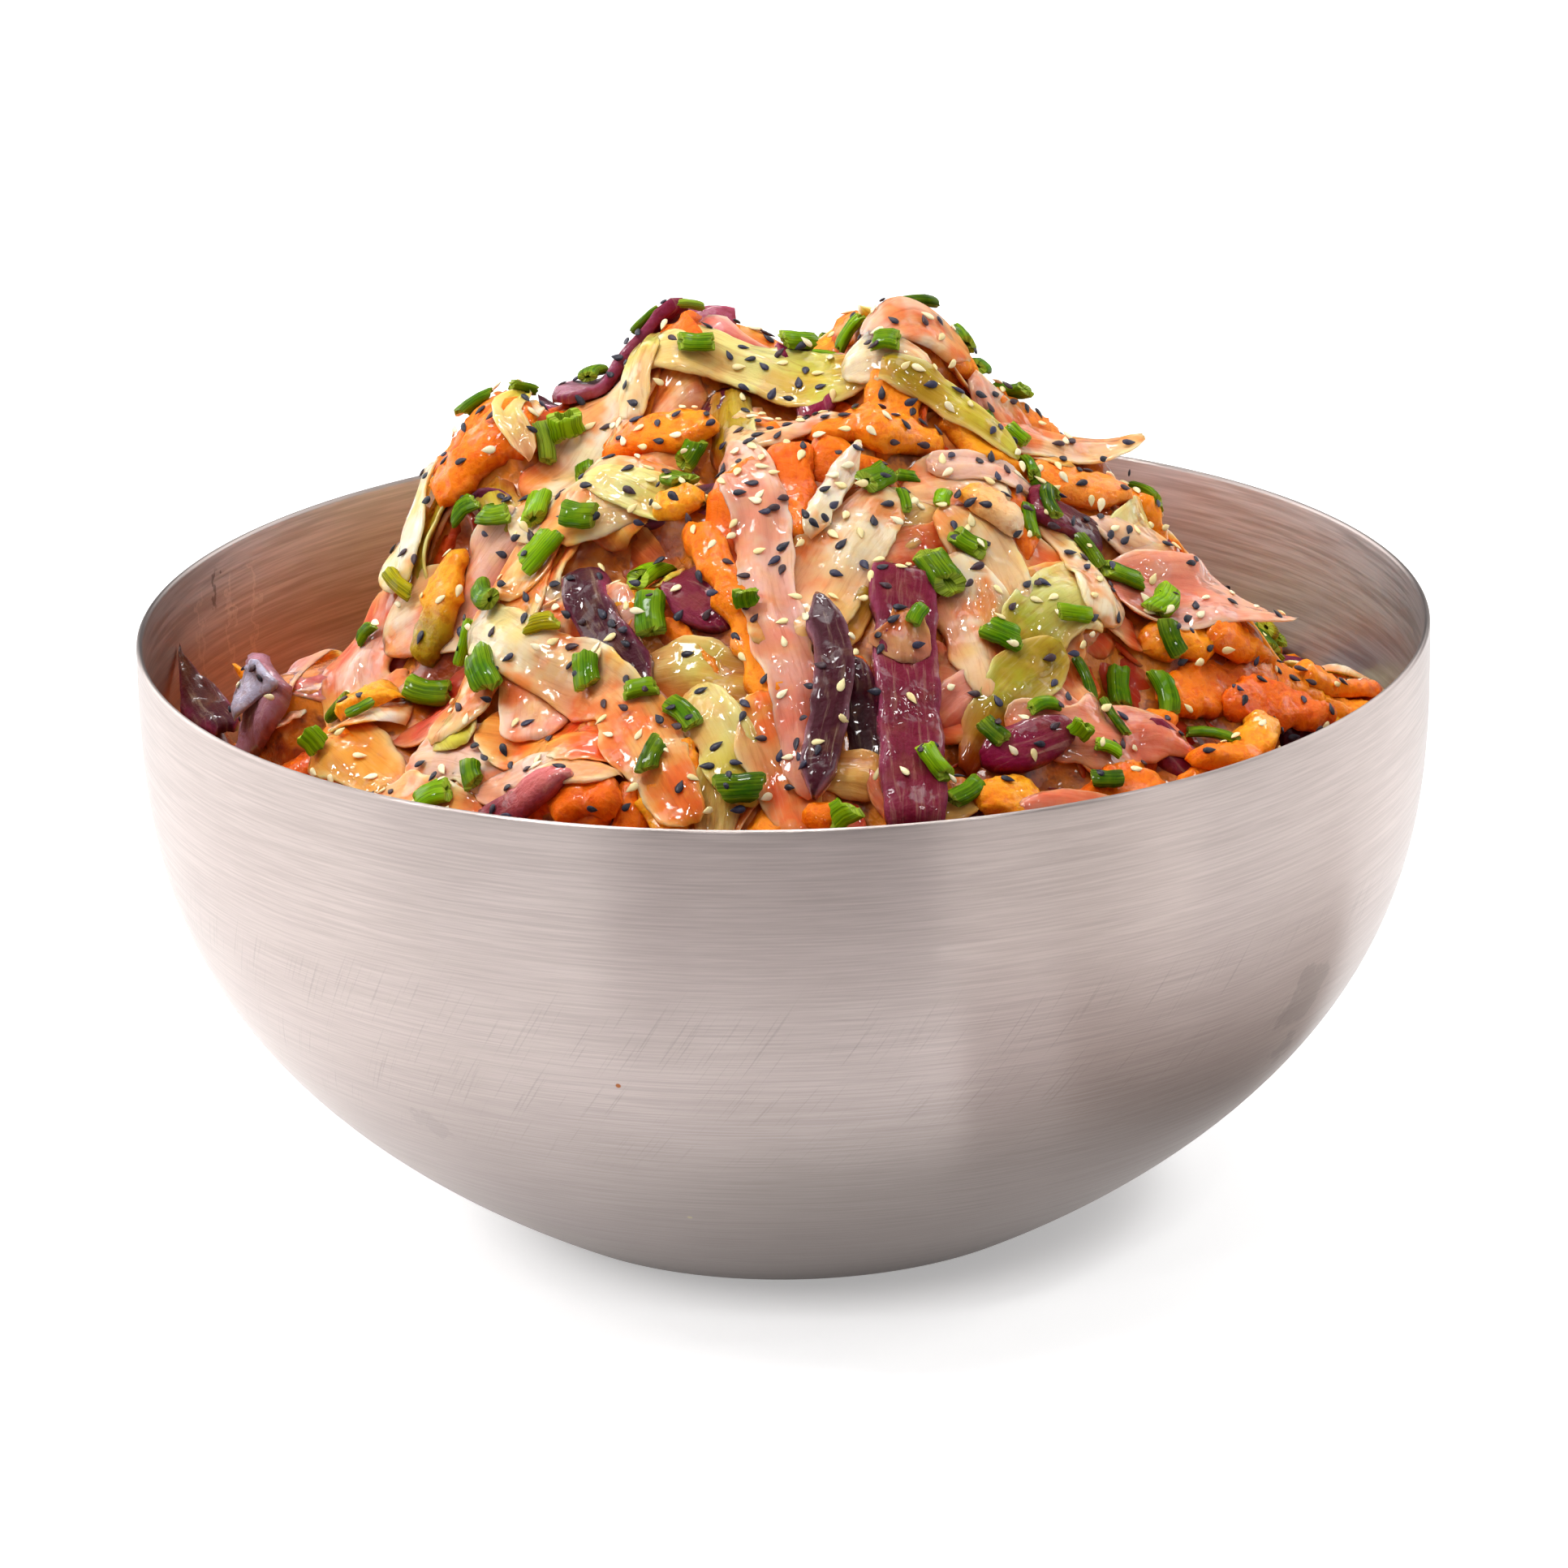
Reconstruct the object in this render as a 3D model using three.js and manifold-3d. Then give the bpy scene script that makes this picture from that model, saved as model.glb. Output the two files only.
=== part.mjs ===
// Coleslaw in a brushed steel bowl.
//
// Two solids: the thin spun bowl, and the heap of slaw that fills it and rises above its rim.
// The heap is a packed core with the shreds, chives and seeds that show fused onto it.
// Millimetres, +Z up. The origin is the middle of the bowl's foot, on the table; -Y is the front.

import * as THREE from "three";
import { mergeVertices } from "three/addons/utils/BufferGeometryUtils.js";
import Module from "manifold-3d";

const wasm = await Module();
wasm.setup();

// ---------------------------------------------------------------- driving dimensions

const BOWL = {
  rimRadius: 100,
  height: 94,
  footRadius: 41,
  wall: 1, // sheet steel, measured square to the surface
  swell: 3, // how soon the side turns upright: the power of its curve
  footBend: 1.6, // width of the small bend between foot and side
};

const BOWL_SEGMENTS = 64;

const BED = { level: -18, risePerX: 4 / 98, risePerY: -12 / 98 }; // slaw level below the rim, tipped to the front

// The mound is a sum of round scoops, each set down at (x, y) with its own reach and rise.
const SCOOPS = [
  { x: 2, y: -4, reachX: 86, reachY: 96, rise: 59 }, // the whole mound
  { x: -49, y: -2, reachX: 24, reachY: 34, rise: 20 }, // steep left shoulder
  { x: -15, y: 2, reachX: 24, reachY: 26, rise: 8 }, // crest left of the top
  { x: 24, y: -2, reachX: 24, reachY: 26, rise: 9 }, // crest right of the top
  { x: 58, y: -8, reachX: 26, reachY: 30, rise: 4 }, // right slope
];
const SCOOP_POWER = 1.5;
const LUMP = 0.9; // half height of the gentle lumps all over the heap

const FOOD_GAP = 0.35; // clearance between slaw and steel
const CORE_INSET = 0.3; // how far the core stays inside the room that the pieces are trimmed to
const CORE_SINK = 0.9; // the packed core lies this far under the heap's mean surface
const ROOTED = 0.5; // how deep the pieces reach into the core

const CABBAGE_THICK = 1.7;
const CARROT_THICK = 2.6;
const STATION_SPACING = 13; // along a shred, between its cross sections
const CHIVE_SIDES = 5;
const SESAME = { length: 2.6, width: 1.6, thick: 1.1 };

const FILLER_SHREDS = 84; // spots all over the heap, of which the front ones stay empty
const FILLER_FRONT = 8; // the named shreds cover the heap in front of this
const FILLER_REACH = 88; // how near the wall they come
const FILLER_CHIVES = 10;
const SESAMES = 36;
const CHANCE_SEED = 2024;

// ---------------------------------------------------------------- chance

// A small seeded generator, so that every build scatters the pieces alike.
function chanceFrom(seed) {
  let state = seed;
  return (low = 0, high = 1) => {
    state = (state + 0x6d2b79f5) >>> 0;
    let t = state;
    t = Math.imul(t ^ (t >>> 15), t | 1);
    t ^= t + Math.imul(t ^ (t >>> 7), t | 61);
    return low + ((high - low) * ((t ^ (t >>> 14)) >>> 0)) / 4294967296;
  };
}

// ---------------------------------------------------------------- bowl

const wallRadius = (z) => {
  const up = Math.min(Math.max(z / BOWL.height, 0), 1);
  return BOWL.footRadius + (BOWL.rimRadius - BOWL.footRadius) * (1 - (1 - up) ** BOWL.swell);
};

// A point of the side at height z, moved inwards square to the surface.
function sidePoint(z, inwards) {
  const step = 0.05;
  const slope = (wallRadius(z + step) - wallRadius(z - step)) / (2 * step);
  const square = new THREE.Vector2(-1, slope).normalize();
  return new THREE.Vector2(wallRadius(z), z).addScaledVector(square, inwards);
}

// Heights up the side, closer together where it curves hardest.
const sideHeights = (count, top) =>
  Array.from({ length: count }, (_, i) => top * ((i + 1) / count) ** 1.35);

function bowlGeometry() {
  const lipRadius = BOWL.wall / 2;
  const sideTop = BOWL.height - lipRadius;
  const lipCentre = BOWL.rimRadius - lipRadius;
  const profile = [
    new THREE.Vector2(0, 0),
    new THREE.Vector2(BOWL.footRadius - BOWL.footBend, 0),
    new THREE.Vector2(BOWL.footRadius + BOWL.footBend / 3, BOWL.footBend / 3),
  ];
  const heights = sideHeights(9, sideTop);
  heights.forEach((z) => profile.push(sidePoint(z, 0)));
  for (const turn of [30, 90, 150]) {
    const a = THREE.MathUtils.degToRad(turn);
    profile.push(
      new THREE.Vector2(lipCentre + lipRadius * Math.cos(a), sideTop + lipRadius * Math.sin(a)),
    );
  }
  heights.reverse().forEach((z) => profile.push(sidePoint(z, BOWL.wall)));
  profile.push(new THREE.Vector2(BOWL.footRadius - BOWL.footBend, BOWL.wall));
  profile.push(new THREE.Vector2(0, BOWL.wall));
  return latheAboutZ(profile, BOWL_SEGMENTS);
}

// LatheGeometry turns about Y; this stands it on Z.
function latheAboutZ(profile, segments) {
  return new THREE.LatheGeometry(profile, segments).rotateX(Math.PI / 2);
}

// The room inside the bowl and above it, less the gap that the food keeps.
function roomGeometry() {
  const above = BOWL.height + 80;
  const inset = BOWL.wall + FOOD_GAP;
  const profile = [new THREE.Vector2(0, BOWL.wall + FOOD_GAP)];
  profile.push(new THREE.Vector2(BOWL.footRadius - BOWL.footBend, BOWL.wall + FOOD_GAP));
  sideHeights(9, BOWL.height).forEach((z) => profile.push(sidePoint(z, inset)));
  profile.push(new THREE.Vector2(BOWL.rimRadius - inset, above));
  profile.push(new THREE.Vector2(0, above));
  return latheAboutZ(profile, BOWL_SEGMENTS);
}

// ---------------------------------------------------------------- the heap's surface

function scoopRise({ x: cx, y: cy, reachX, reachY, rise }, x, y) {
  const away = ((x - cx) / reachX) ** 2 + ((y - cy) / reachY) ** 2;
  return rise * Math.max(0, 1 - away) ** SCOOP_POWER;
}

const lumps = (x, y) =>
  LUMP * (Math.sin(x / 5.3 + 1.1) * Math.cos(y / 6.1 - 0.6) + 0.6 * Math.sin((x - y) / 8.7 + 2.1));

const heapHeight = (x, y) =>
  BOWL.height +
  BED.level +
  BED.risePerX * x +
  BED.risePerY * y +
  SCOOPS.reduce((sum, scoop) => sum + scoopRise(scoop, x, y), 0) +
  lumps(x, y);

function heapNormal(x, y) {
  const d = 1;
  return new THREE.Vector3(
    (heapHeight(x - d, y) - heapHeight(x + d, y)) / (2 * d),
    (heapHeight(x, y - d) - heapHeight(x, y + d)) / (2 * d),
    1,
  ).normalize();
}

// The point over (x, y) that stands off the heap by a distance square to its surface.
const onHeap = (x, y, standOff = 0) =>
  new THREE.Vector3(x, y, heapHeight(x, y)).addScaledVector(heapNormal(x, y), standOff);

// ---------------------------------------------------------------- solids from points

// A closed tube of rings with the same number of points, capped by fans at both ends.
function skinOfRings(rings) {
  const sides = rings[0].length;
  const position = rings.flat().flatMap((p) => [p.x, p.y, p.z]);
  const index = [];
  for (let r = 0; r + 1 < rings.length; r++) {
    for (let s = 0; s < sides; s++) {
      const a = r * sides + s;
      const b = r * sides + ((s + 1) % sides);
      index.push(a, b, b + sides, a, b + sides, a + sides);
    }
  }
  const last = (rings.length - 1) * sides;
  for (let s = 1; s + 1 < sides; s++) {
    index.push(0, s + 1, s);
    index.push(last, last + s, last + s + 1);
  }
  const geometry = new THREE.BufferGeometry();
  geometry.setAttribute("position", new THREE.Float32BufferAttribute(position, 3));
  geometry.setIndex(index);
  return geometry;
}

function solidOf(geometry) {
  const plain = geometry.clone();
  plain.deleteAttribute("normal");
  plain.deleteAttribute("uv");
  const merged = mergeVertices(plain, 1e-4);
  return new wasm.Manifold(
    new wasm.Mesh({
      numProp: 3,
      vertProperties: new Float32Array(merged.attributes.position.array),
      triVerts: new Uint32Array(merged.index.array),
    }),
  );
}

function geometryOf(solid) {
  const { vertProperties, triVerts } = solid.getMesh();
  const geometry = new THREE.BufferGeometry();
  geometry.setAttribute("position", new THREE.BufferAttribute(vertProperties, 3));
  geometry.setIndex(new THREE.BufferAttribute(triVerts, 1));
  geometry.computeVertexNormals();
  return geometry;
}

// ---------------------------------------------------------------- core

// The packed slaw: a disc of rings on top, and rings down the bowl's side underneath.
function coreSolid() {
  const sectors = 32;
  const topRings = 10;
  const sideRings = 5;
  const inset = BOWL.wall + FOOD_GAP + CORE_INSET;
  const floor = inset;
  const columns = Array.from({ length: sectors }, (_, s) => {
    const turn = (2 * Math.PI * s) / sectors;
    const [c, n] = [Math.cos(turn), Math.sin(turn)];
    let edge = new THREE.Vector2(BOWL.rimRadius - inset, BOWL.height);
    for (let again = 0; again < 4; again++) {
      const level = heapHeight(edge.x * c, edge.x * n) - CORE_SINK;
      edge = new THREE.Vector2(sidePoint(level, inset).x, level);
    }
    const top = Array.from({ length: topRings }, (_, i) => {
      const r = (edge.x * (i + 1)) / topRings;
      const z = i + 1 === topRings ? edge.y : heapHeight(r * c, r * n) - CORE_SINK;
      return new THREE.Vector3(r * c, r * n, z);
    });
    const side = Array.from({ length: sideRings }, (_, i) => {
      const z = edge.y * (1 - (i + 1) / (sideRings + 1)) ** 1.4;
      const p = sidePoint(z, inset);
      return new THREE.Vector3(p.x * c, p.x * n, Math.max(p.y, floor));
    });
    const foot = new THREE.Vector3(
      (BOWL.footRadius - BOWL.footBend) * c,
      (BOWL.footRadius - BOWL.footBend) * n,
      floor,
    );
    return [...top, ...side, foot];
  });
  const deep = columns[0].length;
  const peak = new THREE.Vector3(0, 0, heapHeight(0, 0) - CORE_SINK);
  const middle = new THREE.Vector3(0, 0, floor);
  const points = [peak, ...columns.flat(), middle];
  const at = (s, i) => 1 + (s % sectors) * deep + i;
  const index = [];
  for (let s = 0; s < sectors; s++) {
    index.push(0, at(s, 0), at(s + 1, 0));
    for (let i = 0; i + 1 < deep; i++) {
      index.push(at(s, i), at(s, i + 1), at(s + 1, i + 1));
      index.push(at(s, i), at(s + 1, i + 1), at(s + 1, i));
    }
    index.push(at(s, deep - 1), points.length - 1, at(s + 1, deep - 1));
  }
  const geometry = new THREE.BufferGeometry();
  geometry.setAttribute(
    "position",
    new THREE.Float32BufferAttribute(points.flatMap((p) => [p.x, p.y, p.z]), 3),
  );
  geometry.setIndex(index);
  return solidOf(geometry);
}

// ---------------------------------------------------------------- shreds

// The pieces that stand out, from the lowest layer to the highest. Each runs over the heap from
// one plan point to another, bowed sideways by bow, and its two ends stand off the heap by lift.
const shred = (kind, from, to, width, { bow = 0, lift = [0, 0], layer = 1 } = {}) => ({
  kind,
  from,
  to,
  width,
  bow,
  lift,
  layer,
});

const SHREDS = [
  // carrot
  shred("carrot", [-27, -17], [-9, -23], 6),
  shred("carrot", [3, -29], [24, -27], 7),
  shred("carrot", [2, -35], [2, -51], 6),
  shred("carrot", [-15, -44], [-1, -77], 5, { bow: 2, layer: 2 }),
  shred("carrot", [5, -66], [14, -70], 7),
  shred("carrot", [-17, -73], [-18, -91], 7, { layer: 2 }),
  shred("carrot", [57, -47], [74, -28], 9),
  shred("carrot", [63, -36], [92, -8], 6, { layer: 2 }),
  shred("carrot", [59, -63], [78, -38], 7),
  shred("carrot", [36, -80], [58, -67], 7),
  shred("carrot", [27, -84], [38, -79], 8, { layer: 2 }),
  shred("carrot", [2, -88], [17, -90], 6),
  shred("carrot", [-79, -4], [-76, 9], 5),
  shred("carrot", [-70, -22], [-60, -53], 8),
  shred("carrot", [-53, -12], [-37, -11], 8, { layer: 2 }),
  shred("carrot", [15, -13], [29, -3], 9, { layer: 2 }),
  shred("carrot", [26, -38], [35, -41], 5),
  shred("carrot", [41, -20], [51, -16], 7),
  // pale, pink and green cabbage
  shred("green", [-22, -4], [18, -14], 9, { bow: -2, layer: 2 }),
  shred("pale", [-8, -24], [10, -27], 10, { layer: 2 }),
  shred("pale", [-16, -8], [-41, -20], 9, { bow: 2, layer: 2 }),
  shred("pale", [-43, -23], [-9, -33], 11, { bow: 2 }),
  shred("pale", [-39, -27], [-63, -19], 11),
  shred("green", [-50, -25], [-57, -30], 8),
  shred("pale", [-47, -37], [-14, -89], 7, { bow: -7, layer: 2 }),
  shred("pale", [-47, -56], [-19, -77], 8, { layer: 2 }),
  shred("pale", [-59, -49], [-32, -75], 7),
  shred("green", [-7, -73], [-12, -91], 6),
  shred("green", [-17, -66], [-3, -75], 9),
  shred("green", [-26, -37], [-14, -52], 7),
  shred("green", [-19, -44], [-6, -41], 6, { lift: [0, 2] }),
  shred("pink", [-7, -30], [4, -85], 7, { bow: -3, layer: 3 }),
  shred("cream", [16, -40], [-2, -67], 10, { layer: 2, lift: [2, 0] }),
  shred("cream", [7, -39], [5, -52], 4, { layer: 2, lift: [3, 0] }),
  shred("green", [13, -58], [4, -69], 5),
  shred("green", [4, -82], [14, -82], 7),
  shred("pale", [25, -40], [33, -53], 9),
  shred("pale", [26, -47], [34, -64], 9, { layer: 2 }),
  shred("green", [41, -55], [25, -78], 7, { layer: 2 }),
  shred("green", [33, -60], [50, -38], 10),
  shred("pink", [21, -32], [39, -26], 5, { layer: 2 }),
  shred("green", [16, -19], [35, -22], 5, { layer: 3 }),
  shred("pale", [35, -14], [50, -5], 6, { layer: 2, lift: [0, 4] }),
  shred("pale", [41, -21], [59, -24], 5),
  shred("pale", [50, -31], [64, -12], 7, { layer: 2, lift: [0, 1] }),
  shred("pink", [50, -36], [77, -15], 10, { layer: 2, lift: [0, 3] }),
  shred("pink", [32, -71], [61, -57], 9, { bow: 2, layer: 2 }),
  shred("pink", [12, -82], [20, -92], 4, { layer: 2 }),
  shred("pale", [-49, -1], [-55, -15], 5, { layer: 2, lift: [1, 0] }),
  // red cabbage
  shred("purple", [-9, 4], [-34, -3], 5, { bow: 2, layer: 2, lift: [7, 1] }),
  shred("green", [16, 1], [28, 2], 4, { layer: 2, lift: [5, 5] }),
  shred("purple", [-29, -44], [-20, -67], 7, { layer: 2 }),
  shred("purple", [-17, -53], [-7, -63], 8),
  shred("purple", [5, -60], [4, -86], 5, { bow: -2, layer: 3 }),
  shred("purple", [18, -54], [18, -89], 9.5, { layer: 3 }),
  shred("purple", [9, -71], [13, -79], 7),
  shred("purple", [37, -29], [49, -26], 7, { layer: 2 }),
  shred("purple", [28, -77], [44, -71], 7, { layer: 2 }),
  shred("purple", [-48, -71], [-31, -79], 3.5),
  shred("purple", [-74, -6], [-61, -21], 5),
  shred("purple", [-86, 26], [-78, 15], 9, { layer: 3 }),
];

// Fillers spread over the whole heap on a sunflower spiral, with a drawn heading and size.
function fillerShreds(chance) {
  const goldenTurn = Math.PI * (3 - Math.sqrt(5));
  const kinds = ["pale", "carrot", "pink", "green", "pale", "purple", "carrot"];
  const spots = Array.from({ length: FILLER_SHREDS }, (_, i) => {
    const r = FILLER_REACH * Math.sqrt((i + 0.5) / FILLER_SHREDS);
    return [r * Math.cos(i * goldenTurn), r * Math.sin(i * goldenTurn)];
  }).filter(([, y]) => y > FILLER_FRONT);
  return spots.map(([x, y], i) => {
    const heading = chance(0, Math.PI);
    const half = chance(6, 13);
    const [dx, dy] = [half * Math.cos(heading), half * Math.sin(heading)];
    const lift = Math.hypot(x, y) < 60 ? chance(0, 2) : 0;
    return shred(kinds[i % kinds.length], [x - dx, y - dy], [x + dx, y + dy], chance(5, 9), {
      bow: chance(-3, 3),
      lift: [0, lift],
    });
  });
}

// One shred as a thin wavy solid that follows the heap.
function shredSolid({ kind, from, to, width, bow, lift, layer }) {
  const thick = kind === "carrot" ? CARROT_THICK : CABBAGE_THICK;
  const start = new THREE.Vector2(...from);
  const along = new THREE.Vector2(...to).sub(start);
  const stations = Math.max(3, Math.round(along.length() / STATION_SPACING) + 1);
  const across = new THREE.Vector2(-along.y, along.x).normalize();
  const taper = kind === "carrot" ? 0.75 : 0.55;
  const rings = Array.from({ length: stations }, (_, i) => {
    const t = i / (stations - 1);
    const arch = Math.sin(Math.PI * t);
    const middle = start.clone().addScaledVector(along, t).addScaledVector(across, bow * arch);
    const half = (width / 2) * (taper + (1 - taper) * Math.sqrt(arch));
    const raised = lift[0] * (1 - t) ** 3 + lift[1] * t ** 3;
    const rise = 0.3 + 0.8 * layer + raised;
    const under = Math.min(rise - thick, 1.6 * raised - CORE_SINK - ROOTED);
    const wave = 0.5 * (i % 2 ? 1 : -1);
    const corner = (side, standOff) =>
      onHeap(middle.x + across.x * half * side, middle.y + across.y * half * side, standOff);
    return [
      corner(-1, under),
      corner(1, under),
      corner(1, rise - wave),
      corner(-1, rise + wave),
    ];
  });
  return solidOf(skinOfRings(rings));
}

// ---------------------------------------------------------------- chives

// Cut chives as [x, y, heading in degrees, length, diameter]; they lie on top of the shreds.
const CHIVES = [
  [-45, -1, 0, 5.5, 3.8],
  [-39, -5, 30, 4.2, 3.4],
  [-27, -1, 80, 5.4, 3.8],
  [-32, -11, 95, 5.5, 5.6],
  [-36, -14, 110, 6.2, 3.4],
  [-29, -18, 20, 4, 3.8],
  [-48, -19, 20, 6.6, 3.6],
  [-42, -24, -20, 5.4, 4],
  [-35, -27, 60, 6.4, 5.2],
  [-28, -36, -20, 5.6, 4.8],
  [-33, -37, 30, 6, 5.4],
  [-20, -50, 50, 7, 5.8],
  [-19, -57, 85, 7.8, 5.8],
  [-41, -37, 100, 8.2, 4.8],
  [-47, -36, -10, 8, 4.2],
  [-34, -49, -10, 5.4, 3.8],
  [-56, -33, -20, 7.8, 5.8],
  [-43, -51, 75, 7, 6.2],
  [-66, -24, -40, 5.6, 4.4],
  [-28, -60, 60, 5.2, 4.6],
  [-14, -37, 110, 7.6, 4.6],
  [-12, -9, 10, 5.6, 4.2],
  [3, -5, 20, 6.8, 5.2],
  [12, -3, 15, 6.8, 4],
  [17, -15, -10, 4.8, 4.4],
  [10, -21, 40, 4.4, 3.8],
  [-14, -26, 80, 5, 3.8],
  [27, -3, 110, 6.6, 4],
  [34, -15, 115, 8, 3.2],
  [36, -24, -35, 7, 3.6],
  [37, -35, -60, 6.2, 3.4],
  [54, -6, -35, 8, 4.2],
  [14, -40, 60, 5.6, 4.2],
  [27, -46, -35, 5.2, 4.6],
  [23, -52, -50, 7.6, 6],
  [32, -58, -60, 5.4, 4.6],
  [-5, -60, 90, 4, 4.4],
  [-15, -72, 110, 8, 3.6],
  [-19, -78, 70, 6.4, 3.8],
  [-7, -84, 5, 6.2, 4.6],
  [7, -89, 60, 4.4, 4.4],
  [22, -82, -45, 6.2, 4],
  [26, -84, 60, 8, 4],
  [53, -50, 110, 7.6, 4.4],
  [58, -48, 105, 8.8, 4],
  [65, -50, -5, 9.6, 3],
  [49, -36, 30, 8, 5],
  [56, -35, 100, 6.4, 5],
  [-51, -64, 5, 9, 4.6],
  [-67, -37, 80, 4, 5],
  [48, -74, 70, 6, 3.4],
  [37, -68, 30, 4.8, 3.2],
];

function fillerChives(chance) {
  return Array.from({ length: FILLER_CHIVES }, () => {
    const r = 80 * Math.sqrt(chance(0.05, 1));
    const turn = chance(0, Math.PI);
    return [r * Math.cos(turn), r * Math.sin(turn), chance(0, 180), chance(4, 8), chance(3.4, 5.4)];
  });
}

function chiveSolid([x, y, heading, length, diameter]) {
  const a = THREE.MathUtils.degToRad(heading);
  const ahead = new THREE.Vector3(Math.cos(a), Math.sin(a), 0);
  const normal = heapNormal(x, y);
  ahead.addScaledVector(normal, -ahead.dot(normal)).normalize();
  const aside = new THREE.Vector3().crossVectors(normal, ahead);
  const centre = onHeap(x, y, 1.2 + diameter * 0.35);
  const ring = (end) =>
    Array.from({ length: CHIVE_SIDES }, (_, s) => {
      const turn = (2 * Math.PI * (s + 0.5)) / CHIVE_SIDES;
      return centre
        .clone()
        .addScaledVector(ahead, (end * length) / 2)
        .addScaledVector(aside, (diameter / 2) * Math.cos(turn))
        .addScaledVector(normal, (diameter / 2) * Math.sin(turn));
    });
  return solidOf(skinOfRings([ring(-1), ring(1)]));
}

// ---------------------------------------------------------------- seeds

function seedSolids(chance) {
  return Array.from({ length: SESAMES }, () => {
    const r = 76 * Math.sqrt(chance());
    const turn = chance(0, 2 * Math.PI);
    const [x, y] = [r * Math.cos(turn), r * Math.sin(turn)];
    const seed = new THREE.SphereGeometry(0.5, 5, 3)
      .scale(SESAME.width, SESAME.length, SESAME.thick)
      .rotateZ(chance(0, Math.PI));
    const tip = new THREE.Quaternion().setFromUnitVectors(
      new THREE.Vector3(0, 0, 1),
      heapNormal(x, y),
    );
    const at = onHeap(x, y, 1.1);
    seed.applyQuaternion(tip).translate(at.x, at.y, at.z);
    return solidOf(seed);
  });
}

// ---------------------------------------------------------------- heap

// Core and pieces in one solid, kept off the steel. Sealed pockets are filled and loose scraps go.
function heapGeometry() {
  const chance = chanceFrom(CHANCE_SEED);
  const pieces = [
    ...fillerShreds(chance).map(shredSolid),
    ...SHREDS.map(shredSolid),
    ...CHIVES.map(chiveSolid),
    ...fillerChives(chance).map(chiveSolid),
    ...seedSolids(chance),
  ];
  const fused = pieces
    .reduce((heap, piece) => heap.add(piece), coreSolid())
    .intersect(solidOf(roomGeometry()));
  const [largest] = fused.decompose().sort((a, b) => b.volume() - a.volume());
  return geometryOf(largest);
}

// ---------------------------------------------------------------- the part

const STEEL = new THREE.MeshStandardMaterial({ color: 0xbdb6b2, roughness: 0.38, metalness: 1 });
const SLAW = new THREE.MeshStandardMaterial({ color: 0xe3a468, roughness: 0.4, metalness: 0 });

function namedMesh(name, geometry, material) {
  const mesh = new THREE.Mesh(geometry, material);
  mesh.name = name;
  return mesh;
}

const part = new THREE.Group();
part.add(namedMesh("bowl", bowlGeometry(), STEEL));
part.add(namedMesh("slaw", heapGeometry(), SLAW));

export default part;
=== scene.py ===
"""Coleslaw in a brushed steel bowl: the looks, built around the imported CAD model.

The bowl and the slaw are CAD nodes. Here a finer bowl stands for the first. For the second stand a dressed
core and the real pieces on it: cabbage, carrot, chives and sesame, each laid on what already lies below it.
"""

import itertools
import math

import bpy
import numpy as np
from mathutils import Matrix, Vector


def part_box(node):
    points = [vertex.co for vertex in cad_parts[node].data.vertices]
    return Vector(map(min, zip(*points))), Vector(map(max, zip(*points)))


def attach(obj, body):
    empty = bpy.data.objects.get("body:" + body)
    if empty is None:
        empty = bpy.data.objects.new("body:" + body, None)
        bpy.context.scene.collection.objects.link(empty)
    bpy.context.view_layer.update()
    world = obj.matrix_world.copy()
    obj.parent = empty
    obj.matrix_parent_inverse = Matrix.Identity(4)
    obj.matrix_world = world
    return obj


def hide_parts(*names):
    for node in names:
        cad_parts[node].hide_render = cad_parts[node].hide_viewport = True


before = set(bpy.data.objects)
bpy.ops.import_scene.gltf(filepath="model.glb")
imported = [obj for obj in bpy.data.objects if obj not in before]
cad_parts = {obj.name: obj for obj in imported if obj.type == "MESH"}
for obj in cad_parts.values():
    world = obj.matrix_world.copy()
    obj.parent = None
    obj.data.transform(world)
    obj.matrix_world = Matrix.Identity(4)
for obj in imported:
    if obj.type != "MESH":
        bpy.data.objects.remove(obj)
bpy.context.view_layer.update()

MM = 0.001  # all shapes are worked out in millimetres

# ---------------------------------------------------------------- sizes, as in the CAD model

BOWL_HIGH = Vector(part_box("bowl")[1]) / MM
RIM_RADIUS = BOWL_HIGH.x
HEIGHT = BOWL_HIGH.z
FOOT_RADIUS = 41
FOOT_BEND = 1.6
WALL = 1.0
SWELL = 3  # the power of the side's curve
FOOD_GAP = 0.35

BED = (-18, 4 / 98, -12 / 98)  # slaw level below the rim, and its rise along X and Y
SCOOPS = [  # x, y, reach along X, reach along Y, rise
    (2, -4, 86, 96, 59),
    (-49, -2, 24, 34, 20),
    (-15, 2, 24, 26, 8),
    (24, -2, 24, 26, 9),
    (58, -8, 26, 30, 4),
]
SCOOP_POWER = 1.5
LUMP = 0.9

CORE_START = -6.9  # the first shreds lie this far under the heap's mean surface


def unit(vectors):
    return vectors / np.linalg.norm(vectors, axis=-1, keepdims=True)


def wall_radius(z):
    up = np.clip(np.asarray(z, float) / HEIGHT, 0, 1)
    return FOOT_RADIUS + (RIM_RADIUS - FOOT_RADIUS) * (1 - (1 - up) ** SWELL)


def side_point(z, inwards):
    """Radius and height of the side at z, moved inwards square to the surface."""
    step = 0.05
    slope = (wall_radius(z + step) - wall_radius(z - step)) / (2 * step)
    size = np.hypot(1, slope)
    return wall_radius(z) - inwards / size, z + inwards * slope / size


def heap_height(x, y):
    z = HEIGHT + BED[0] + BED[1] * x + BED[2] * y
    for cx, cy, reach_x, reach_y, rise in SCOOPS:
        away = ((x - cx) / reach_x) ** 2 + ((y - cy) / reach_y) ** 2
        z = z + rise * np.clip(1 - away, 0, None) ** SCOOP_POWER
    lumps = np.sin(x / 5.3 + 1.1) * np.cos(y / 6.1 - 0.6) + 0.6 * np.sin((x - y) / 8.7 + 2.1)
    return z + LUMP * lumps


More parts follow.
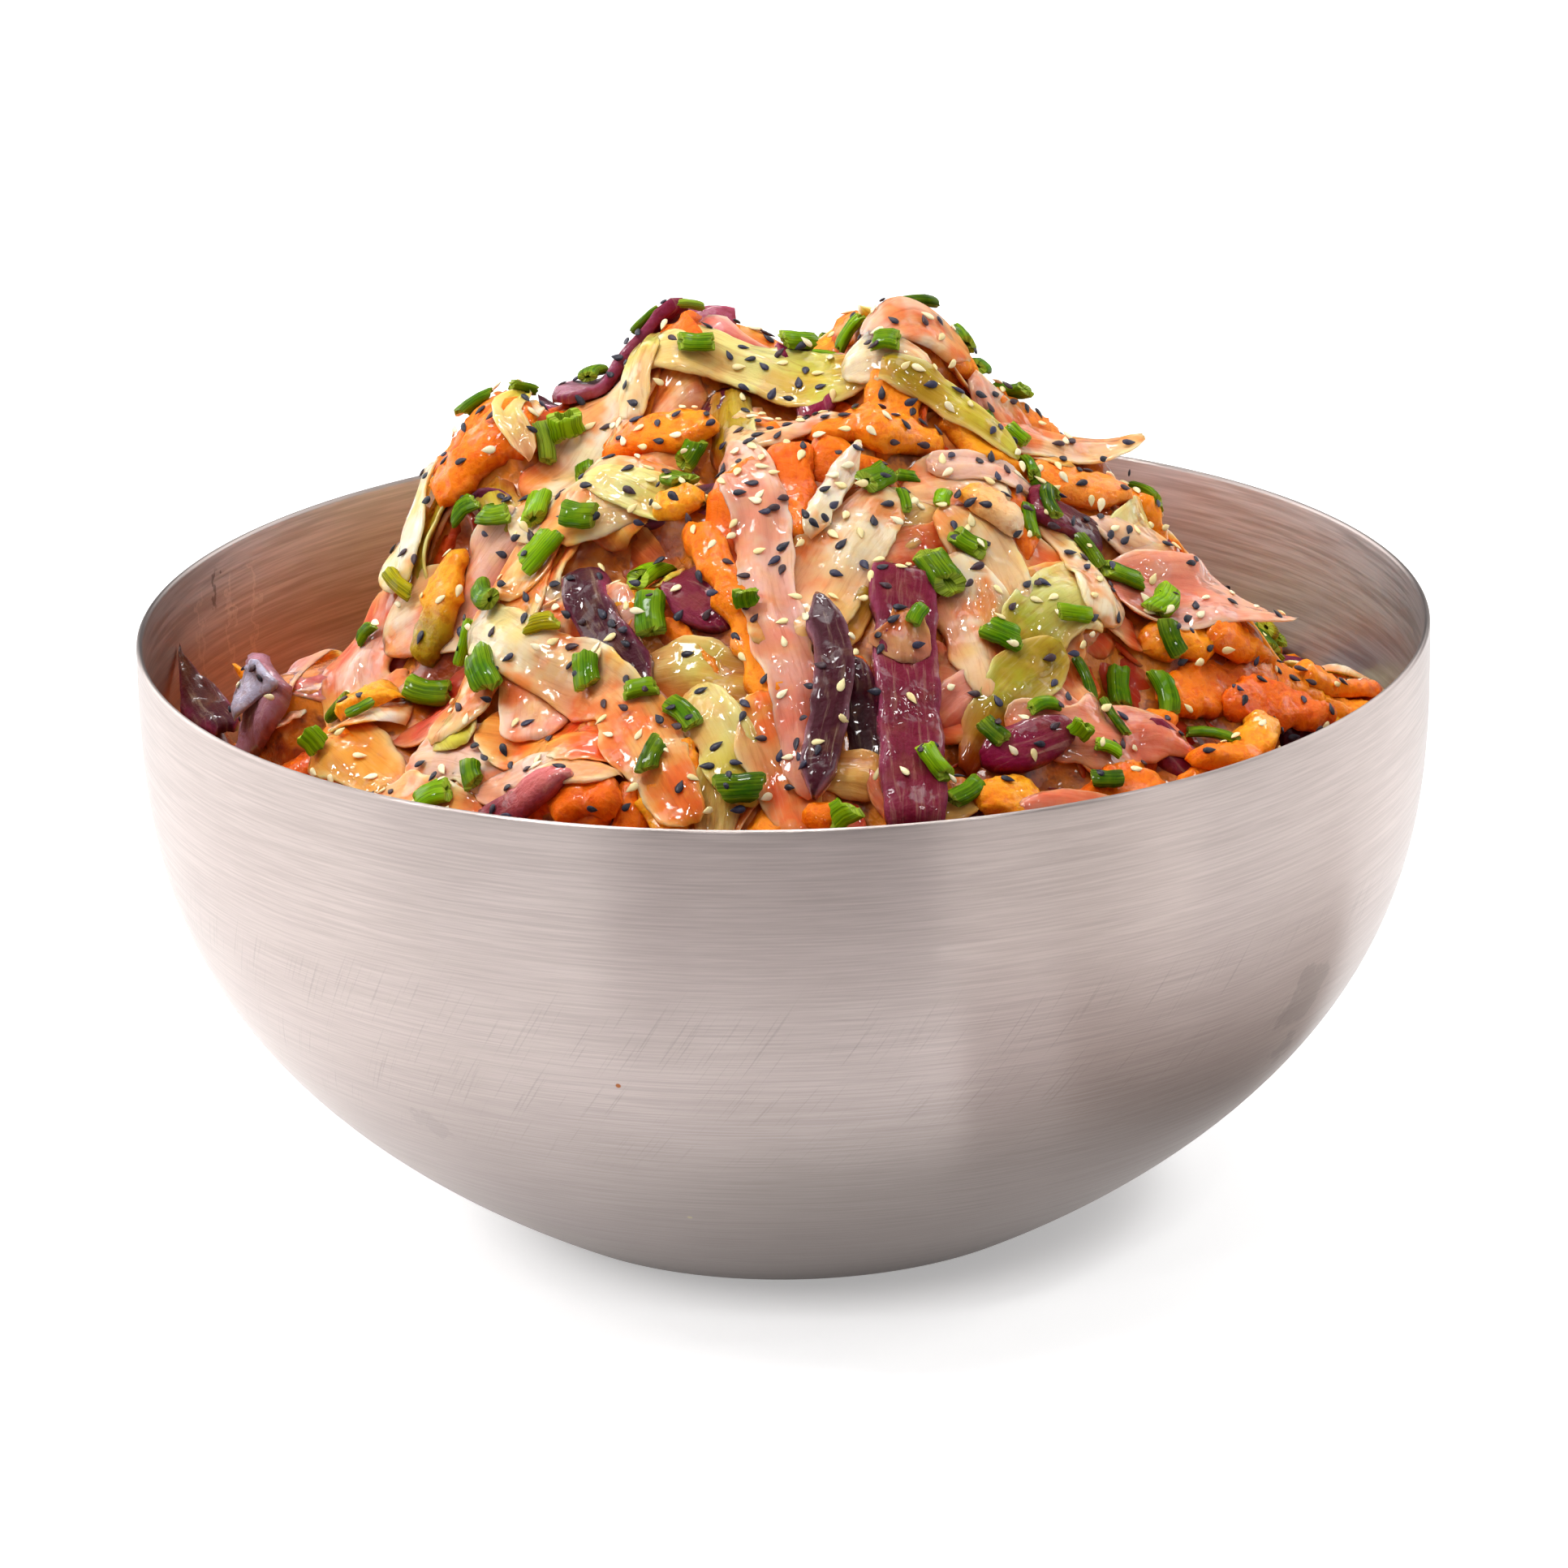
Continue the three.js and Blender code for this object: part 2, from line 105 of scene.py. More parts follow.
def heap_frame(x, y):
    """Points on the heap over plan positions, and the unit normals there, taken over a few millimetres."""
    d = 3.0
    fall_x = (heap_height(x - d, y) - heap_height(x + d, y)) / (2 * d)
    fall_y = (heap_height(x, y - d) - heap_height(x, y + d)) / (2 * d)
    return np.stack([x, y, heap_height(x, y)], -1), unit(np.stack([fall_x, fall_y, np.ones_like(x)], -1))


def inside_bowl(points):
    """Presses points that would cross the steel back against the inside of the wall."""
    z = points[..., 2]
    allowed = wall_radius(np.clip(z, 0, HEIGHT)) - (WALL + FOOD_GAP)
    r = np.hypot(points[..., 0], points[..., 1])
    shrink = np.minimum(1, allowed / np.maximum(r, 1e-6))
    return np.stack([points[..., 0] * shrink, points[..., 1] * shrink, z], -1)


# ---------------------------------------------------------------- small helpers

WAVES = 6  # how many sine waves make up an unevenness


def linear(code):
    """A colour written as six hexadecimal digits, as linear light."""
    parts = np.array([int(code[i : i + 2], 16) for i in (0, 2, 4)]) / 255
    return np.where(parts <= 0.04045, parts / 12.92, ((parts + 0.055) / 1.055) ** 2.4)


def waves(points, length, seed):
    """A smooth repeatable unevenness, about -1 to 1, whose features are a few times length across."""
    draw = np.random.default_rng(seed)
    direction = unit(draw.normal(size=(WAVES, points.shape[-1])))
    pitch = 2 * np.pi / (length * draw.uniform(1.6, 4.0, WAVES))
    phase = draw.uniform(0, 2 * np.pi, WAVES)
    return np.sin(points @ direction.T * pitch + phase).sum(-1) / math.sqrt(WAVES)


def shifted(field, reach, axis):
    """A 2-D array moved along an axis by every step up to reach, either way, with its edges held."""
    margin = [(reach, reach) if a == axis else (0, 0) for a in (0, 1)]
    padded = np.pad(field, margin, mode="edge")
    size = field.shape[axis]
    return [np.take(padded, range(i, i + size), axis=axis) for i in range(2 * reach + 1)]


def blur(field, along, across):
    """Gaussian blur of a 2-D array."""
    for axis, spread in enumerate((along, across)):
        reach = max(1, int(3 * spread))
        kernel = np.exp(-0.5 * (np.arange(-reach, reach + 1) / spread) ** 2)
        kernel /= kernel.sum()
        field = sum(weight * moved for weight, moved in zip(kernel, shifted(field, reach, axis)))
    return field


def highest_near(field, reach):
    """At each place of a 2-D array, the highest value within reach places of it."""
    for axis in (0, 1):
        field = np.max(shifted(field, reach, axis), axis=0)
    return field


def smooth(share):
    return share**2 * (3 - 2 * share)


def smooth_path(points, count):
    """A curve through a few plan points, at even steps of its length."""
    p = np.vstack([2 * points[0] - points[1], points, 2 * points[-1] - points[-2]])
    t = np.linspace(0, 1, 12, endpoint=False)[:, None]
    spans = [
        b + 0.5 * t * (c - a) + t**2 * (a - 2.5 * b + 2 * c - 0.5 * d) + 0.5 * t**3 * (3 * (b - c) + d - a)
        for a, b, c, d in zip(p, p[1:], p[2:], p[3:])
    ]
    line = np.vstack([*spans, p[-2]])
    at = space_length(line)
    even = np.linspace(0, at[-1], count)
    return np.stack([np.interp(even, at, part) for part in line.T], -1)


def space_length(line):
    """Length along a plan line as it runs over the heap."""
    on_heap, _ = heap_frame(*line.T)
    steps = np.linalg.norm(np.diff(on_heap, axis=0), axis=1)
    return np.concatenate([[0], np.cumsum(steps)])


# ---------------------------------------------------------------- the pile


class Pile:
    """How high the slaw stands over the heap's mean surface, square to it, on a grid over the plan."""

    cell = 0.8
    half = 104.0

    def __init__(self, start):
        count = int(2 * self.half / self.cell) + 1
        self.top = np.full((count, count), float(start))

    def at(self, x, y):
        i, j = (np.clip((np.asarray(v) + self.half) / self.cell, 0, len(self.top) - 1.001) for v in (x, y))
        i0, j0 = i.astype(int), j.astype(int)
        fi, fj = i - i0, j - j0
        t = self.top
        low = t[i0, j0] * (1 - fj) + t[i0, j0 + 1] * fj
        high = t[i0 + 1, j0] * (1 - fj) + t[i0 + 1, j0 + 1] * fj
        return low * (1 - fi) + high * fi

    def cover(self, x, y, top):
        """Raises the pile to the top of a piece, given at the piece's own grid of plan points."""
        for _ in range(2):
            x, y, top = (self._between(field) for field in (x, y, top))
        cells = (np.rint((v + self.half) / self.cell).astype(int).ravel() for v in (x, y))
        np.maximum.at(self.top, tuple(np.clip(c, 0, len(self.top) - 1) for c in cells), top.ravel())

    @staticmethod
    def _between(field):
        """The same field with a value added half way between each pair of neighbours."""
        wide = np.empty((2 * field.shape[0] - 1, 2 * field.shape[1] - 1))
        wide[::2, ::2] = field
        wide[1::2, ::2] = (field[:-1] + field[1:]) / 2
        wide[:, 1::2] = (wide[:, :-2:2] + wide[:, 2::2]) / 2
        return wide


pile = Pile(CORE_START)

# ---------------------------------------------------------------- meshes made of many pieces

CLEAR = 99.0  # a level above every pile, for pieces on which no dressing pools and no shade is painted


def add_object(name, data):
    made = bpy.data.objects.new(name, data)
    bpy.context.scene.collection.objects.link(made)
    return made


class Kind:
    """All pieces of one kind, gathered into one mesh with a tint and a grain at every vertex."""

    def __init__(self, name):
        self.name = name
        self.points, self.faces, self.tints, self.grains, self.spots = [], [], [], [], []
        self.count = 0

    def add(self, points, faces, tint, grain, spots=None):
        self.tints.append(np.broadcast_to(tint, points.shape).reshape(-1, 3))
        points = points.reshape(-1, 3)
        self.points.append(points)
        self.faces.append(facing_out(points, faces) + self.count)
        self.grains.append(grain.reshape(-1, 3))
        self.spots.append(np.full(points.shape, CLEAR) if spots is None else spots.reshape(-1, 3))
        self.count += len(points)

    def pool(self, crowd, code, depth, most):
        """Tints what lies deep between higher pieces: with the colour of dressing that pools there, and with
        painted shade where the colour is dark.
        """
        x, y, level = np.vstack(self.spots).T
        below = np.clip((crowd.at(x, y) - level) / depth, 0, 1)[:, None]
        self.stain_and_shade(code, most * smooth(below))

    def stain_and_shade(self, code, share):
        """Mixes the tints by a share with the same tints seen through a colour."""
        tints = np.vstack(self.tints)
        stained = np.minimum(tints * 1.1, 1) * linear(code)
        self.tints = [tints + (stained - tints) * share]

    def shade_low_front_right(self, code, most):
        """Tints what lies low in front and on the right with painted shade, warm as the dressing."""
        x, y, z = np.vstack(self.points).T
        share = np.clip((112 - z) / 22, 0, 1) * np.clip((x + 40) / 50, 0, 1) * np.clip(-y / 40, 0, 1)
        self.stain_and_shade(code, most * share[:, None])

    def build(self, material, slot, replaced, sharp_from=None):
        mesh = bpy.data.meshes.new(self.name)
        points = np.vstack(self.points) * MM
        faces = np.vstack(self.faces)
        mesh.vertices.add(len(points))
        mesh.vertices.foreach_set("co", points.astype(np.float32).ravel())
        mesh.loops.add(faces.size)
        mesh.loops.foreach_set("vertex_index", faces.astype(np.int32).ravel())
        mesh.polygons.add(len(faces))
        mesh.polygons.foreach_set("loop_start", np.arange(0, faces.size, 4, dtype=np.int32))
        mesh.update(calc_edges=True)
        tint = mesh.color_attributes.new("tint", "FLOAT_COLOR", "POINT")
        rgba = np.hstack([np.vstack(self.tints), np.ones((len(points), 1))])
        tint.data.foreach_set("color", rgba.astype(np.float32).ravel())
        grain = mesh.attributes.new("grain", "FLOAT_VECTOR", "POINT")
        grain.data.foreach_set("vector", np.vstack(self.grains).astype(np.float32).ravel())
        mesh.shade_smooth()
        if sharp_from is not None:
            mesh.set_sharp_from_angle(angle=math.radians(sharp_from))
        mesh.validate()
        mesh.materials.append(material)
        piece = add_object(self.name, mesh)
        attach(piece, "root")
        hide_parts(replaced)


def facing_out(points, faces):
    """The faces of one closed piece, turned round where they face into it."""
    a, b, c, d = (points[faces[:, i]] - points[0] for i in range(4))
    volume = np.sum(np.cross(a, b) * c) + np.sum(np.cross(a, c) * d)
    return faces if volume > 0 else faces[:, ::-1]


def joined_rings(start, end, ring):
    """Faces between equal rings, from the numbers of their first points."""
    here = np.arange(ring)
    after = np.roll(here, -1)
    return np.stack([start + here, end + here, end + after, start + after], -1).reshape(-1, 4)


def loft_faces(stations, ring):
    """Faces of a tube of equal rings. Each end is closed by rungs across the ring."""
    start = (np.arange(stations - 1) * ring)[:, None]
    rung = np.arange(ring // 2 - 1)
    cap = np.stack([rung, rung + 1, ring - 2 - rung, ring - 1 - rung], -1)
    return np.vstack([joined_rings(start, start + ring, ring), cap, cap[:, ::-1] + (stations - 1) * ring])


def torus_faces(stations, ring):
    """Faces of rings joined all the way round, the last to the first."""
    start = (np.arange(stations) * ring)[:, None]
    return joined_rings(start, np.roll(start, -1, axis=0), ring)


def circles(r, z, turn):
    """Points round the bowl's axis at radii r and heights z."""
    return np.stack(np.broadcast_arrays(r * np.cos(turn), r * np.sin(turn), z), -1)


# ---------------------------------------------------------------- shreds and leaves


def end_shape(distance, reach, tip, sharpness):
    """Share of the full width at a distance from an end: tip at the end itself, 1 beyond reach."""
    e = np.clip(distance / reach, 0, 1)
    round_end = np.sqrt(2 * e - e**2)
    return tip + (1 - tip) * ((1 - sharpness) * round_end + sharpness * e)


RUFFLE_LENGTH = 6.0
ROUGH_LENGTH = 0.75


def lay(
    kind, points, width, thick, tint, tint_end=None, tint_edge=None, tips=(0.25, 0.25), sharp=(0.3, 0.3),
    end_reach=None, ragged=0.08, jag=1.4, ruffle=0.5, pleat=0.0, cup=0.0, twist=(0, 0), rough=0.0, square=3.5,
    edge=0.25, lift=(0, 0), lift_reach=0.35, stiff=4.0, prop=1.6, ride_up=0.5, sink=0.0, step=1.15, seed=0,
):  # fmt: skip
    """Lays one shred or leaf along plan points, draped over the pile, and adds it to its kind.

    Tips, sharp and end_reach shape its two ends, ragged and jag its outline, ruffle, pleat, cup, twist
    and rough its face, square and edge its section, and lift raises its ends. Stiff, prop and ride_up
    say how closely it follows what lies below, and sink how deep it lies in it.
    """
    ends = np.asarray(points, float)
    length = space_length(smooth_path(ends, 40))[-1]
    stations = int(np.clip(round(length / step) + 1, 6, 70))
    lanes = int(np.clip(round(width / step) + 3, 5, 15))
    run = np.linspace(0, length, stations)
    middle, normal = heap_frame(*smooth_path(ends, stations).T)
    ahead = unit(np.gradient(middle, axis=0))
    aside = unit(np.cross(normal, ahead))

    reach = end_reach or min(0.45 * length, 0.9 * width)
    share = end_shape(run, reach, tips[0], sharp[0]) * end_shape(length - run, reach, tips[1], sharp[1])
    across = np.sin(np.linspace(-1, 1, lanes) * np.pi / 2)
    key = np.stack([run, np.full(stations, seed * 7.7)], -1)
    left, right = (
        1 + ragged * (waves(key, max(jag, 0.4 * width), side) + 0.3 * waves(key, jag, side + 50))
        for side in (seed * 2 + 1, seed * 2 + 2)
    )
    half = 0.5 * width * share
    reach_out = np.where(across < 0, (half * left)[:, None], (half * right)[:, None]) * across
    spot = middle[:, None, :] + aside[:, None, :] * reach_out[..., None]
    x, y = spot[..., 0], spot[..., 1]

    ground = pile.at(x, y)
    rest = blur(highest_near(ground, round(prop / step)), stiff / step, 0.25 * lanes)
    local = np.stack([np.broadcast_to(run[:, None], x.shape), reach_out, np.full_like(x, seed * 5.3)], -1)
    folds = np.cos(1.6 * math.pi * across + 1.5 * waves(key, 9, seed + 21)[:, None])
    lifted = lift_reach * length
    from_start, from_end = (np.clip(1 - far / lifted, 0, 1) ** 2 for far in (run, length - run))
    height = (
        rest
        + ride_up * np.maximum(0, ground - rest)
        - sink
        + ruffle * waves(local, RUFFLE_LENGTH, seed + 11)
        + pleat * folds * share[:, None]
        + cup * across**2
        + np.linspace(*twist, stations)[:, None] * across
        + (lift[0] * from_start + lift[1] * from_end)[:, None]
    )

    body = edge + (1 - edge) * np.clip(1 - np.abs(across) ** square, 0, 1) ** 0.5
    near_end = np.clip(np.minimum(run, length - run) / min(1.6, 0.2 * length), 0, 1) ** 0.5
    top_height = height + 2 * (0.5 * thick * body * (edge + (1 - edge) * near_end)[:, None])
    base, up = heap_frame(x, y)
    relief = rough * waves(local, ROUGH_LENGTH, seed + 5) if rough else 0
    top = inside_bowl(base + up * (top_height + relief)[..., None])
    under = inside_bowl(base + up * height[..., None])
    pile.cover(x, y, top_height)

    colour = np.broadcast_to(linear(tint), top.shape)
    if tint_end:
        blend = smooth(np.clip(run / length + 0.18 * waves(key, 5, seed + 3), 0, 1))[:, None, None]
        colour = colour * (1 - blend) + linear(tint_end) * blend
    if tint_edge:
        rim = np.clip(np.abs(across) ** 9 * (0.7 + 0.3 * waves(local, 3, seed + 4)), 0, 1)[..., None]
        colour = colour * (1 - rim) + linear(tint_edge) * rim
    above, below = (np.stack([x, y, level], -1) for level in (top_height, height))
    rings, colours, grains, spots = (
        np.concatenate([upper, lower[:, ::-1]], axis=1)
        for upper, lower in ((top, under), (colour, colour), (local, local), (above, below))
    )
    kind.add(rings, loft_faces(stations, 2 * lanes), colours, grains, spots)


CABBAGES = ("white_cabbage", "green_cabbage", "pink_cabbage")
KIND_NAMES = (*CABBAGES, "red_cabbage", "carrot_shreds", "chives", "black_sesame", "white_sesame")
KINDS = {name: Kind(name) for name in KIND_NAMES}
CREAM, IVORY, PEACH, APRICOT = "ecd0ac", "f4dcc2", "f2b67e", "f69c3c"
BLUSH, PINK, ROSE = "eab09a", "e29686", "d46e6c"
LIME, PALE_LIME, OLIVE, LEAF = "c8bc3c", "e2d488", "a88c14", "9ca01c"
ORANGE, BRIGHT_ORANGE, DEEP_ORANGE, AMBER = "f87c04", "fe9410", "f06a04", "fca61c"
WINE, PLUM, LILAC, DUSK = "400418", "74122e", "a87484", "52200c"
MAGENTA, MAUVE = "840c3a", "66203e"

SHEET = dict(thick=0.8, edge=0.3, square=6, stiff=3.4, prop=1.3, ride_up=0.35, ruffle=0.5, pleat=0.4)
RIB = dict(thick=2.2, edge=0.6, square=9, stiff=7, ragged=0.07, ruffle=0.3, rough=0.1, tint_edge="a04468")
SHRED = dict(thick=2.6, square=4, stiff=5, prop=1.2, ragged=0.2, jag=0.9, ruffle=0.5, rough=0.28, step=0.95)
HABIT = {  # which mesh each vegetable is in, how much wider it is laid than listed, how it is cut and lies
    "white": ("white_cabbage", 1.35, dict(SHEET, ragged=0.12, tint_edge="fbe2b4")),
    "green": ("green_cabbage", 1.2, dict(SHEET, ragged=0.1, tint_edge="eee8a0")),
    "pink": ("pink_cabbage", 1.2, dict(SHEET, ragged=0.1, tint_edge="fbd8c0")),
    "red": ("red_cabbage", 1.0, RIB),
    "carrot": ("carrot_shreds", 1.05, SHRED),
}


def lay_habit(habit, width, tint, tint_end, points, seed, more):
    kind, widen, options = HABIT[habit]
    options = {**options, "tint": tint, "tint_end": tint_end, "seed": seed, **more}
    lay(KINDS[kind], points, width * widen, **options)


# Shreds under the ones that show, spread evenly on a sunflower spiral and drawn at random.
UNDER_LAYERS = ((150, 7.0, 22), (130, 8.0, 24), (110, 9.0, 28))  # how many, mean width and mean length
UNDER_REACH = 95
UNDER_STEP = 1.35
SHORT_BEYOND, SHORT = 80, 16  # near the wall they are short
GOLDEN = math.pi * (3 - math.sqrt(5))
MIX = {  # each vegetable's share, its length and width beside the mean, and its tints
    "white": (0.32, 1.2, 1.1, (CREAM, PEACH, APRICOT, APRICOT, IVORY, BLUSH)),
    "carrot": (0.36, 0.85, 0.8, (ORANGE, ORANGE, BRIGHT_ORANGE, DEEP_ORANGE, AMBER)),
    "pink": (0.12, 1.1, 1.0, (BLUSH, PINK, ROSE, BLUSH)),
    "green": (0.11, 1.1, 0.9, (LIME, PALE_LIME, LEAF, OLIVE, PALE_LIME)),
    "red": (0.09, 0.9, 0.7, (WINE, PLUM, WINE, MAGENTA, MAUVE)),
}


def strew_under(draw):
    shares = [mix[0] for mix in MIX.values()]
    for layer, (count, width, length) in enumerate(UNDER_LAYERS):
        for i in range(count):
            r = UNDER_REACH * math.sqrt((i + 0.5) / count)
            turn = i * GOLDEN + layer * 1.3
            x, y = r * math.cos(turn), r * math.sin(turn)
            habit = draw.choice(list(MIX), p=shares)
            _, longer, wider, tints = MIX[habit]
            long = longer * length * draw.uniform(0.6, 1.5)
            long = min(long, SHORT) if r > SHORT_BEYOND else long
            wide = wider * width * draw.uniform(0.6, 1.35)
            downhill = turn if r > 20 else draw.uniform(0, 2 * math.pi)
            heading = downhill + draw.normal(0, 0.9)
            bend = draw.uniform(-0.22, 0.22) * long
            dx, dy = math.cos(heading), math.sin(heading)
            _, up = heap_frame(np.array([x]), np.array([y]))
            half = 0.5 * long * (0.35 + 0.65 * up[0, 2])
            middle = (x - dy * bend, y + dx * bend)
            points = [(x - dx * half, y - dy * half), middle, (x + dx * half, y + dy * half)]
            first, second = draw.choice(tints, 2)
            look = dict(
                tips=draw.uniform(0.05, 0.7, 2),
                sharp=draw.uniform(0, 1, 2),
                cup=draw.uniform(-0.8, 1.2),
                twist=draw.uniform(-1.3, 1.3, 2),
                lift=draw.uniform(-0.6, 1.2, 2),
                step=UNDER_STEP,
            )
            lay_habit(habit, wide, first, second, points, 1000 * (layer + 1) + i, look)


strew_under(np.random.default_rng(5))


def laying(habit, numbers=itertools.count(1)):
    """A function that lays pieces of one vegetable, by width, tints at both ends, plan points and options.

    All such functions count the pieces together, and the count is the seed of a piece's unevenness.
    """

    def put(width, tint, tint_end, *points, **more):
        lay_habit(habit, width, tint, tint_end, points, next(numbers), more)

    return put


white, green, pink, red, carrot = (laying(habit) for habit in ("white", "green", "pink", "red", "carrot"))

# The pieces that show, from the lowest to the highest.
carrot(7, DEEP_ORANGE, None, (-32, -76), (-26, -84))
white(10, PEACH, BLUSH, (-77, 4), (-73, -7), (-73, -18), sink=-5)
carrot(6, BRIGHT_ORANGE, None, (-77, -8), (-74, 3), sink=-3, lift=(0, 8), lift_reach=0.8)
pink(8, BLUSH, LILAC, (-70, 4), (-70, -6), (-73, -16), sink=-2)
carrot(8, ORANGE, APRICOT, (-70, -26), (-66, -46), (-54, -62))
carrot(8, DEEP_ORANGE, None, (-40, -72), (-24, -84))
carrot(6, ORANGE, None, (8, -67), (12, -72))
carrot(8, DEEP_ORANGE, ORANGE, (36, -84), (48, -76), (58, -67))
carrot(8, ORANGE, None, (58, -70), (68, -60), (72, -50))
carrot(10, ORANGE, BRIGHT_ORANGE, (58, -50), (73, -28))
carrot(8, BRIGHT_ORANGE, None, (54, -42), (66, -30))
carrot(8, DEEP_ORANGE, None, (66, -44), (82, -28))
red(7, WINE, None, (9, -68), (13, -84))
green(10, PALE_LIME, LIME, (-22, -64), (-14, -66), (-4, -70))
red(10, PLUM, MAGENTA, (-17, -51), (-7, -61), rough=0)
green(4, OLIVE, LIME, (-40, -67), (-34, -71))
white(8, BLUSH, IVORY, (-57, -50), (-44, -63), (-33, -76))
white(8, PEACH, APRICOT, (-64, -52), (-56, -62), (-46, -72))
pink(6, BLUSH, PEACH, (-46, -66), (-34, -74), (-24, -80))
red(4, PLUM, ROSE, (-46, -72), (-38, -76), (-30, -78), sharp=(0.2, 0.9))
carrot(8, BRIGHT_ORANGE, AMBER, (-16, -74), (-17, -82), (-18, -91))
green(6, LIME, PALE_LIME, (-6, -72), (-9, -80), (-12, -91))
white(9, APRICOT, ORANGE, (-46, -56), (-32, -67), (-19, -77), tips=(0.2, 0.6))
white(9, PEACH, APRICOT, (-70, -20), (-67, -34), (-61, -50))
pink(5, ROSE, LILAC, (-74, -8), (-68, -14), (-60, -23))
white(10, BLUSH, IVORY, (-62, -8), (-65, -22), (-60, -38))
carrot(6, AMBER, None, (-66, -26), (-58, -34))
white(12, BLUSH, CREAM, (-38, -26), (-50, -27), (-62, -18))
carrot(7, AMBER, OLIVE, (-50, -22), (-56, -30))
green(7, OLIVE, LIME, (-52, -48), (-48, -58))
white(11, APRICOT, PEACH, (-34, -34), (-44, -44), (-52, -54))
green(7, PALE_LIME, LIME, (-25, -37), (-16, -52))
white(11, PEACH, BLUSH, (-28, -44), (-36, -54), (-38, -64))
red(7, WINE, None, (-29, -43), (-26, -54), (-20, -68), tips=(0.6, 0.0), sharp=(0, 1))
white(8, CREAM, APRICOT, (-46, -36), (-38, -50), (-26, -64), (-14, -88))
carrot(7, ORANGE, BRIGHT_ORANGE, (4, -30), (14, -29), (25, -27))
carrot(6.5, DEEP_ORANGE, ORANGE, (2, -33), (2, -50), tips=(0.7, 0.7))
carrot(5.5, ORANGE, BRIGHT_ORANGE, (-14, -44), (-6, -60), (-1, -76))
green(8, PALE_LIME, LIME, (-14, -68), (-9, -76), (-6, -86))
white(8, APRICOT, PEACH, (-4, -72), (-1, -80), (2, -90))
green(5, OLIVE, LIME, (13, -56), (5, -68))
green(7, PALE_LIME, None, (4, -82), (14, -83), tips=(0.7, 0.7))
white(9, CREAM, PEACH, (24, -40), (30, -46), (34, -54))
white(9, IVORY, PEACH, (25, -48), (29, -58), (32, -70), sharp=(0.2, 0.9))
white(9, PEACH, CREAM, (19, -38), (26, -34), (34, -33))
green(11, PALE_LIME, LEAF, (50, -38), (42, -46), (34, -58))
green(8, LEAF, OLIVE, (41, -55), (34, -66), (27, -78), sharp=(0.2, 0.8))
white(8, IVORY, CREAM, (40, -30), (46, -38), (46, -48))
pink(9, BLUSH, PINK, (33, -72), (46, -66), (54, -60), (61, -58), ragged=0.25)
carrot(8, BRIGHT_ORANGE, AMBER, (28, -85), (38, -79))
carrot(5, ORANGE, None, (2, -88), (8, -89))
carrot(5, BRIGHT_ORANGE, None, (14, -88), (18, -91))
red(7, MAGENTA, PLUM, (29, -77), (36, -74), (42, -69), rough=0, square=2.4, tint_edge=None)
pink(5, PINK, BLUSH, (12, -82), (17, -88), (21, -93), tips=(0.1, 0.4))
pink(4.5, PINK, BLUSH, (34, -84), (44, -80), (50, -78))
carrot(6, ORANGE, AMBER, (60, -62), (68, -54), (72, -42))
carrot(6.5, ORANGE, BRIGHT_ORANGE, (62, -36), (78, -18), (91, -9))
red(4, WINE, None, (80, -38), (82, -44), square=2.4)
white(10, CREAM, PEACH, (-12, -12), (-24, -20), (-34, -30), (-40, -40))
white(11, PEACH, APRICOT, (-16, -22), (-26, -30), (-22, -40))
white(11, CREAM, PEACH, (-40, -24), (-27, -31), (-12, -33))
green(7, PALE_LIME, LIME, (-27, -30), (-18, -36), (-10, -42), sharp=(0.3, 0.9))
carrot(6, AMBER, None, (-18, -40), (-10, -42))
carrot(7, ORANGE, BRIGHT_ORANGE, (-28, -16), (-18, -21), (-9, -23))
white(11, IVORY, CREAM, (-18, -7), (-28, -12), (-38, -22))
carrot(9, ORANGE, None, (-54, -2), (-46, -3), (-39, -3), sink=0.8)
carrot(7, ORANGE, APRICOT, (32, -5), (38, -3), (48, 0), sink=0.4)
carrot(6, ORANGE, None, (13, 1), (19, 2), (25, 1), sink=1.2)
carrot(9, ORANGE, None, (-53, -12), (-44, -12), (-37, -10), tips=(0.6, 0.7))
white(9, IVORY, CREAM, (-53, -2), (-57, -8), (-59, -16), sink=-1, tips=(0.7, 0.3), sharp=(0, 0.3))
green(3, LIME, CREAM, (-38, -4), (-41, -10), (-38, -17), cup=1.2)
red(6.5, PLUM, LILAC, (-12, 2), (-22, 2), (-34, -4), lift=(2, 0), sink=-0.6)
red(5, PLUM, "b05070", (-16, 5), (-11, 6.5), (-6, 6),
    thick=1.2, sink=-1.5, twist=(2, 1), cup=-1, sharp=(0.3, 1), tips=(0.3, 0), end_reach=7)
white(10, PEACH, BLUSH, (-8, -23), (0, -26), (9, -27), tips=(0.3, 0.3))
green(9, PALE_LIME, LIME, (-22, -5), (-3, -10), (17, -15))
green(5, LIME, CREAM, (-17, -2), (-20, -10), (-22, -16))
carrot(9, ORANGE, BRIGHT_ORANGE, (16, -8), (26, -6), (30, -2))
white(8, BLUSH, APRICOT, (14, -12), (22, -7), (29, -4))
white(6, CREAM, PEACH, (10, -14), (18, -16), (22, -18))
pink(5, BLUSH, None, (22, -32), (30, -29), (39, -26), sharp=(0.3, 1))
carrot(6, AMBER, CREAM, (26, -37), (35, -40))
green(5, OLIVE, LIME, (16, -18), (24, -20), (35, -22), tips=(0.8, 0.4))
carrot(8, ORANGE, APRICOT, (38, -18), (46, -16), (52, -14))
white(6, BLUSH, APRICOT, (30, -8), (38, -10), (44, -14))
white(6, BLUSH, PEACH, (34, -14), (42, -9), (50, -4), lift=(0, 9), lift_reach=0.6)
red(7.5, PLUM, WINE, (37, -30), (48, -26), tips=(0.7, 0.7))
pink(6, BLUSH, PEACH, (46, -24), (54, -22), (60, -16))
white(8, BLUSH, PEACH, (50, -32), (58, -24), (64, -14), ragged=0.3)
